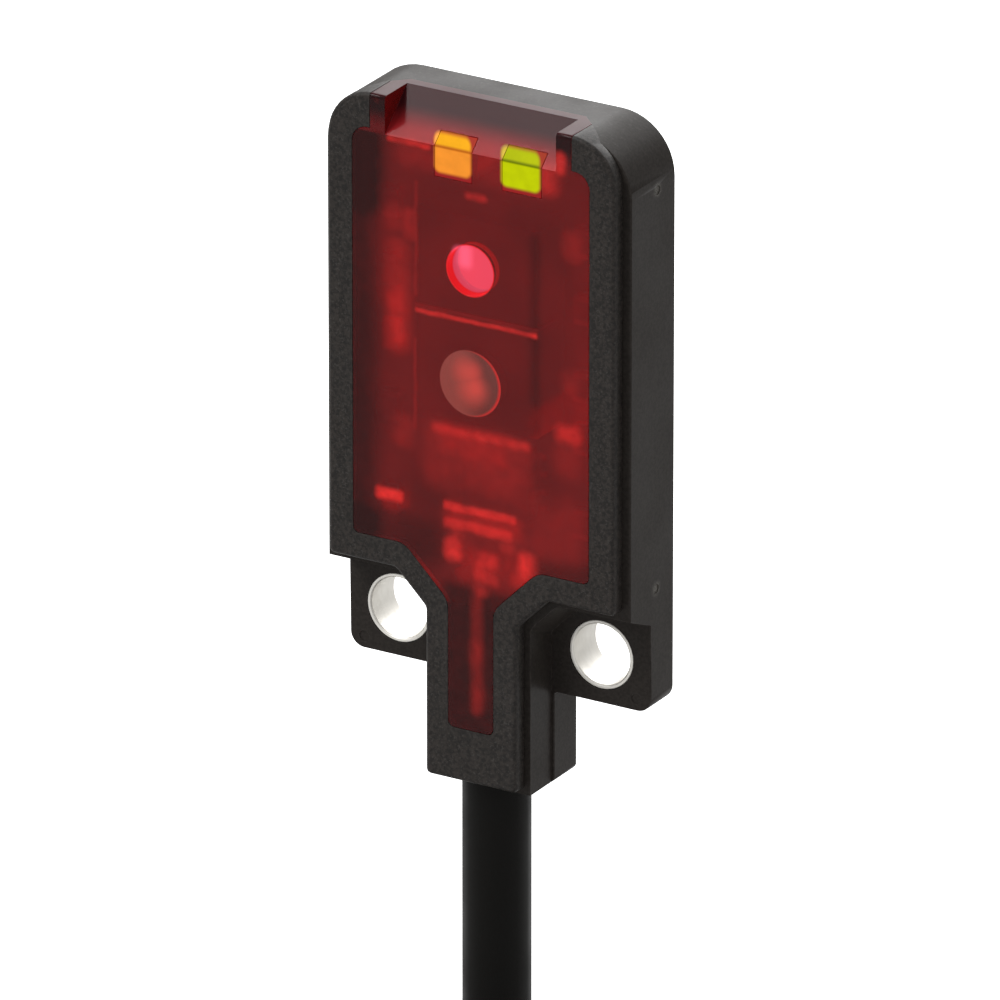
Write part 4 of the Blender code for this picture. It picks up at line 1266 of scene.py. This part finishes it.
def coilPoint(degrees, radius, y):
    angle = math.radians(degrees)
    return Vector((radius * math.cos(angle), y, coil["centreZ"] + radius * math.sin(angle)))


def turnPlaces():
    places = []
    for row, count in enumerate(coil["turnsInRow"]):
        front = coil["centreY"] + coil["columnStep"] * (count - 1) / 2
        columns = [front - coil["columnStep"] * i for i in range(count)]
        if row % 2:
            columns.reverse()
        radius = outerRadius - row * coil["rowStep"]
        places += [(radius, y, row) for y in columns]
    return places


def cableRoute():
    outerY = coil["centreY"] + coil["columnStep"] * 2
    route = [Vector((0, cable["axisY"], cable["innerEnd"]))]
    straightSteps = 6
    straight = leadStart - cable["exitZ"]
    for i in range(straightSteps):
        z = cable["exitZ"] + straight * i / straightSteps
        route.append(Vector((0, cable["axisY"], z)))
    leadSteps = 20
    for i in range(leadSteps):
        turn = coil["joinTurn"] * i / leadSteps
        x = -leadRadius * (1 - math.cos(turn))
        y = cable["axisY"] + (outerY - cable["axisY"]) * smoothStep(i / leadSteps)
        route.append(Vector((x, y, leadStart - leadRadius * math.sin(turn))))
    places = turnPlaces()
    stepDegrees = 360 / cable["pointsPerTurn"]
    for k, (radius, y, row) in enumerate(places):
        last = k == len(places) - 1
        nextRadius, nextY, _ = places[min(k + 1, len(places) - 1)]
        for i in range(cable["pointsPerTurn"]):
            turned = i * stepDegrees
            if last and joinDegrees + turned > coil["lastAngle"]:
                break
            share = smoothStep((turned - 360 + coil["crossing"]) / coil["crossing"])
            dip = row * coil["crossingDip"] * math.sin(math.pi * share)
            route.append(
                coilPoint(
                    joinDegrees + turned,
                    radius + (nextRadius - radius) * share - dip,
                    y + (nextY - y) * share,
                )
            )
    return route


cablePath = cableRoute()
cablePiece = addPiece(
    "cable",
    tubeCurve("cable", cablePath, cable["diameter"], 6),
    jacketVinyl,
    ("cable_jacket", "cable_coil"),
)
print("cable wound,", len(cablePath), "points")


# Stripped leads at the cable's far end, lying on the coil's front
leads = {
    "diameter": 0.84,
    "frontY": -13.67,
    "innerRadius": 11.2,
    "step": 1.1,
    "landing": 264,  # degrees where they reach the coil's front face
    "end": 400,
    "bareDegrees": 16,
    "strandDiameter": 0.17,
    "fan": 0.62,  # how far apart they leave the jacket
    "wave": 0.12,
}


def leadRoute(index):
    start = cablePath[-1]
    radius = leads["innerRadius"] + index * leads["step"]
    startRadius = math.hypot(start.x, start.z - coil["centreZ"])
    spread = (index - 1) * leads["fan"]
    points = []
    count = 60
    for i in range(count + 1):
        degrees = coil["lastAngle"] - 8 + (leads["end"] - coil["lastAngle"] + 8) * i / count
        share = smoothStep((degrees - coil["lastAngle"]) / (leads["landing"] - coil["lastAngle"]))
        wave = leads["wave"] * math.sin(degrees / 17 + index * 2) * share
        reach = startRadius + spread + (radius - startRadius - spread) * share + wave
        y = start.y + (leads["frontY"] - start.y) * share
        points.append(coilPoint(degrees, reach, y))
    return points


def tipMesh(index):
    radius = leads["innerRadius"] + index * leads["step"]
    mesh = bpy.data.meshes.new("strands")
    bm = bmesh.new()
    sides = 6
    steps = 14
    strands = [(0, 0)] + [(leads["strandDiameter"], a * math.tau / 6) for a in range(6)]
    for away, phase in strands:
        rings = []
        for i in range(steps + 1):
            degrees = leads["end"] - 1 + (leads["bareDegrees"] + 1) * i / steps
            twist = phase + i * 0.35
            x, y = away * math.cos(twist), away * math.sin(twist)
            centre = coilPoint(degrees, radius + x, leads["frontY"] + y)
            out = coilPoint(degrees, 1, 0) - coilPoint(degrees, 0, 0)
            ring = []
            for s in range(sides):
                angle = s * math.tau / sides
                offset = out * math.cos(angle) + Vector((0, 1, 0)) * math.sin(angle)
                ring.append(bm.verts.new((centre + offset * leads["strandDiameter"] / 2) * mm))
            rings.append(ring)
        for before, after in zip(rings, rings[1:]):
            for s in range(sides):
                bm.faces.new((before[s], before[s - 1], after[s - 1], after[s]))
        bm.faces.new(rings[0])
        bm.faces.new(reversed(rings[-1]))
    bmesh.ops.recalc_face_normals(bm, faces=bm.faces)
    bm.to_mesh(mesh)
    bm.free()
    mesh.shade_smooth()
    return mesh


leadPieces = []
for index, (colour, finish) in enumerate(
    (("brown", brownVinyl), ("blue", blueVinyl), ("black", blackVinyl))
):
    insulation = addPiece(
        f"lead_{colour}",
        tubeCurve(f"lead_{colour}", leadRoute(index), leads["diameter"], 4),
        finish,
        (f"wire_end_{colour}",),
    )
    strands = addPiece(
        f"strands_{colour}", tipMesh(index), copperStrand, (f"wire_tip_{colour}",)
    )
    leadPieces += [insulation, strands]
print("leads laid")


# Nylon bands that hold the coil
ties = {
    "upper": {"angle": 135, "front": 0.0},
    "lower": {"angle": 315, "front": 1.14},  # room for the leads under the band
    "width": 2.6,
    "thick": 0.35,
    "gap": 0.3,
    "corner": 1.0,  # the radius a band bends round the coil's edges with
    "soft": 0.08,  # the rounding of its own edges
    "head": (3.6, 3.2, 1.5),  # wide, long, thick
    "headWall": 0.55,
    "headEnd": 0.75,
    "pawl": (0.9, 0.45),  # long, thick
    "tail": (4.4, 0.34),  # long, thick
    "teeth": 9,
    "toothPitch": 0.42,
}


def tieAxes(settings):
    angle = math.radians(settings["angle"])
    out = Vector((math.cos(angle), 0, math.sin(angle)))
    along = Vector((-math.sin(angle), 0, math.cos(angle)))
    return out, along, Vector((0, coil["centreY"], coil["centreZ"]))


def tieSection(grow, front):
    high = 2 * coil["rowStep"] + cable["diameter"] / 2 + ties["gap"] + grow
    back = coil["columnStep"] * 2.5 + ties["gap"] + grow
    corner = ties["corner"] + grow
    points = []
    for x, y, start in (
        (high, -back - front, -90),
        (high, back, 0),
        (-high, back, 90),
        (-high, -back - front, 180),
    ):
        centre = (x - math.copysign(corner, x), y - math.copysign(corner, y))
        for i in range(7):
            angle = math.radians(start + 90 * i / 6)
            x, y = corner * math.cos(angle), corner * math.sin(angle)
            points.append((centre[0] + x, centre[1] + y))
    return points


def tieMesh(settings):
    mesh = bpy.data.meshes.new("tie")
    bm = bmesh.new()
    out, along, centre = tieAxes(settings)
    middle = centre + out * coil["middleRadius"]
    loops = []
    soft = ties["soft"]
    half = ties["width"] / 2
    thick = ties["thick"]
    for grow, across in (
        (0, -half + soft),
        (0, half - soft),
        (soft, half),
        (thick - soft, half),
        (thick, half - soft),
        (thick, -half + soft),
        (thick - soft, -half),
        (soft, -half),
    ):
        loop = []
        for x, y in tieSection(grow, settings["front"]):
            place = middle + out * x + Vector((0, y, 0)) + along * across
            loop.append(bm.verts.new(place * mm))
        loops.append(loop)
    for k, loop in enumerate(loops):
        following = loops[(k + 1) % len(loops)]
        for i in range(len(loop)):
            bm.faces.new((loop[i - 1], loop[i], following[i], following[i - 1]))
    bmesh.ops.recalc_face_normals(bm, faces=bm.faces)
    bm.to_mesh(mesh)
    bm.free()
    mesh.shade_smooth()
    mesh.set_sharp_from_angle(angle=math.radians(50))
    return mesh


# A band's head: an open box with its pawl, and the trimmed tail that comes out of it
def headMesh(settings):
    out, along, centre = tieAxes(settings)
    wide, long, thick = ties["head"]
    reach = coil["middleRadius"] + 2 * coil["rowStep"] + cable["diameter"] / 2 + ties["gap"]
    base = centre + out * (reach + 0.1)
    turn = Matrix((along, Vector((0, -1, 0)), out)).transposed().to_4x4()
    bm = bmesh.new()

    def block(size, centre, rounding):
        made = bmesh.ops.create_cube(bm, size=1)["verts"]
        bmesh.ops.scale(bm, vec=size, verts=made)
        bmesh.ops.translate(bm, vec=centre, verts=made)
        edges = list({edge for vert in made for edge in vert.link_edges})
        bmesh.ops.bevel(bm, geom=edges, offset=rounding, segments=3, profile=0.5, affect="EDGES")

    wall = ties["headWall"]
    end = ties["headEnd"]
    inner = wide - 2 * wall
    for side in (-1, 1):
        block((wall, long, thick), (side * (inner + wall) / 2, 0, thick / 2), 0.12)
    for side in (-1, 1):
        block((wide - 0.1, end, thick), (0, side * (long - end) / 2, thick / 2), 0.12)
    block((inner + 0.2, *ties["pawl"]), (0, -0.3, thick * 0.62), 0.08)
    strip = ties["width"] - 0.5
    block((strip, *ties["tail"]), (0, -1.6, thick + 0.1), 0.06)
    for i in range(ties["teeth"]):
        y = -3.5 + i * ties["toothPitch"]
        block((strip - 0.5, 0.18, 0.16), (0, y, thick + 0.32), 0.05)
    bmesh.ops.transform(bm, matrix=turn, verts=bm.verts)
    bmesh.ops.translate(bm, vec=base, verts=bm.verts)
    bmesh.ops.scale(bm, vec=(mm, mm, mm), verts=bm.verts)
    mesh = bpy.data.meshes.new("bandHead")
    bm.to_mesh(mesh)
    bm.free()
    mesh.shade_smooth()
    mesh.set_sharp_from_angle(angle=math.radians(40))
    return mesh


for name in ("upper", "lower"):
    addPiece(f"bandHead_{name}", headMesh(ties[name]), bandNylon)
    addPiece(
            f"band_{name}", tieMesh(ties[name]), bandNylon, (f"coil_tie_{name}",)
        )

# Studio: plain pale floor, an even white room and three soft lamps, from the left front,
# the right and behind
studio = {
    "floorDrop": 12,  # mm below the coil
    "floorReach": 3000,
    "floorColour": 0.74,
    "shadowReach": (70, 170),  # mm over which the floor goes from shaded to plain white
    "floorLift": (0.08, 0.75),  # the floor's own light at both ends of that reach
    "mirroredLift": 0.12,  # its share in reflections, which so stay as bright as the room's
    "roomLight": 0.5,
    "keyFrom": (-0.44, -0.44, 0.78),
    "keyAway": 420,
    "keySize": 220,
    "keyPower": 1.15,
    "fillFrom": (0.9, -0.35, 0.25),
    "fillAway": 500,
    "fillSize": 200,
    "fillPower": 0.02,
    "rimFrom": (-0.15, 0.84, 0.48),
    "rimAway": 500,
    "rimSize": 520,
    "rimPower": 3.1,
}


def makeFloor():
    mesh = bpy.data.meshes.new("floor")
    bm = bmesh.new()
    bmesh.ops.create_grid(bm, x_segments=4, y_segments=4, size=studio["floorReach"] * mm)
    bm.to_mesh(mesh)
    bm.free()
    piece = bpy.data.objects.new("floor", mesh)
    piece.location.z = cadBox[0].z - studio["floorDrop"] * mm
    scene.collection.objects.link(piece)
    material, tree, shader = newFinish("paleFloor", [studio["floorColour"]] * 3, 0.9)
    shader.inputs["Specular IOR Level"].default_value = 0.1
    rays = addNode(tree, "ShaderNodeLightPath", (1, 0))
    mirrored = addNode(tree, "ShaderNodeMath", (2, 1), operation="MULTIPLY")
    mirrored.inputs[1].default_value = studio["mirroredLift"]
    wire(tree, rays, "Is Glossy Ray", mirrored, 0)
    seen = combineValues(tree, (3, 0), "MAXIMUM", rays, "Is Camera Ray", mirrored, 0)
    every = combineValues(tree, (4, 0), "MAXIMUM", seen, 0, rays, "Is Transmission Ray")
    place = objectMillimetres(tree, (0, -2))
    reach = addNode(tree, "ShaderNodeVectorMath", (2, -2), operation="LENGTH")
    wire(tree, place, 0, reach, 0)
    ends = (*studio["shadowReach"], *studio["floorLift"])
    lift = mapValue(tree, (3, -2), reach, "Value", *ends, True)
    shown = combineValues(tree, (5, 0), "MULTIPLY", every, 0, lift, 0)
    shader.inputs["Emission Color"].default_value = (1, 1, 1, 1)
    wire(tree, shown, 0, shader, "Emission Strength")
    mesh.materials.append(material)
    return piece


def makeRoom():
    world = bpy.data.worlds.new("room")
    scene.world = world
    world.use_nodes = True
    tree = world.node_tree
    background = tree.nodes["Background"]
    rays = addNode(tree, "ShaderNodeLightPath", (-5, 0))
    seen = combineValues(tree, (-4, 0), "MAXIMUM", rays, "Is Camera Ray", rays, "Is Glossy Ray")
    every = combineValues(tree, (-3, 0), "MAXIMUM", seen, 0, rays, "Is Transmission Ray")
    strength = mapValue(tree, (-2, 0), every, 0, 0, 1, studio["roomLight"], 1)
    background.inputs["Color"].default_value = (1, 1, 1, 1)
    wire(tree, strength, 0, background, "Strength")


def addLamp(name, direction, away, size, power):
    data = bpy.data.lights.new(name, "AREA")
    data.shape = "DISK"
    data.size = size * mm
    data.energy = power
    lamp = bpy.data.objects.new(name, data)
    lamp.location = Vector(direction).normalized() * away * mm
    lamp.rotation_euler = Vector(direction).to_track_quat("Z", "Y").to_euler()
    lamp.visible_camera = False
    lamp.visible_transmission = False  # the inside is lit by the room alone, which stays clean
    scene.collection.objects.link(lamp)


makeFloor()
makeRoom()
for name in ("key", "fill", "rim"):
    addLamp(name, *[studio[name + part] for part in ("From", "Away", "Size", "Power")])
scene.view_settings.view_transform = "Standard"
print("studio lit")
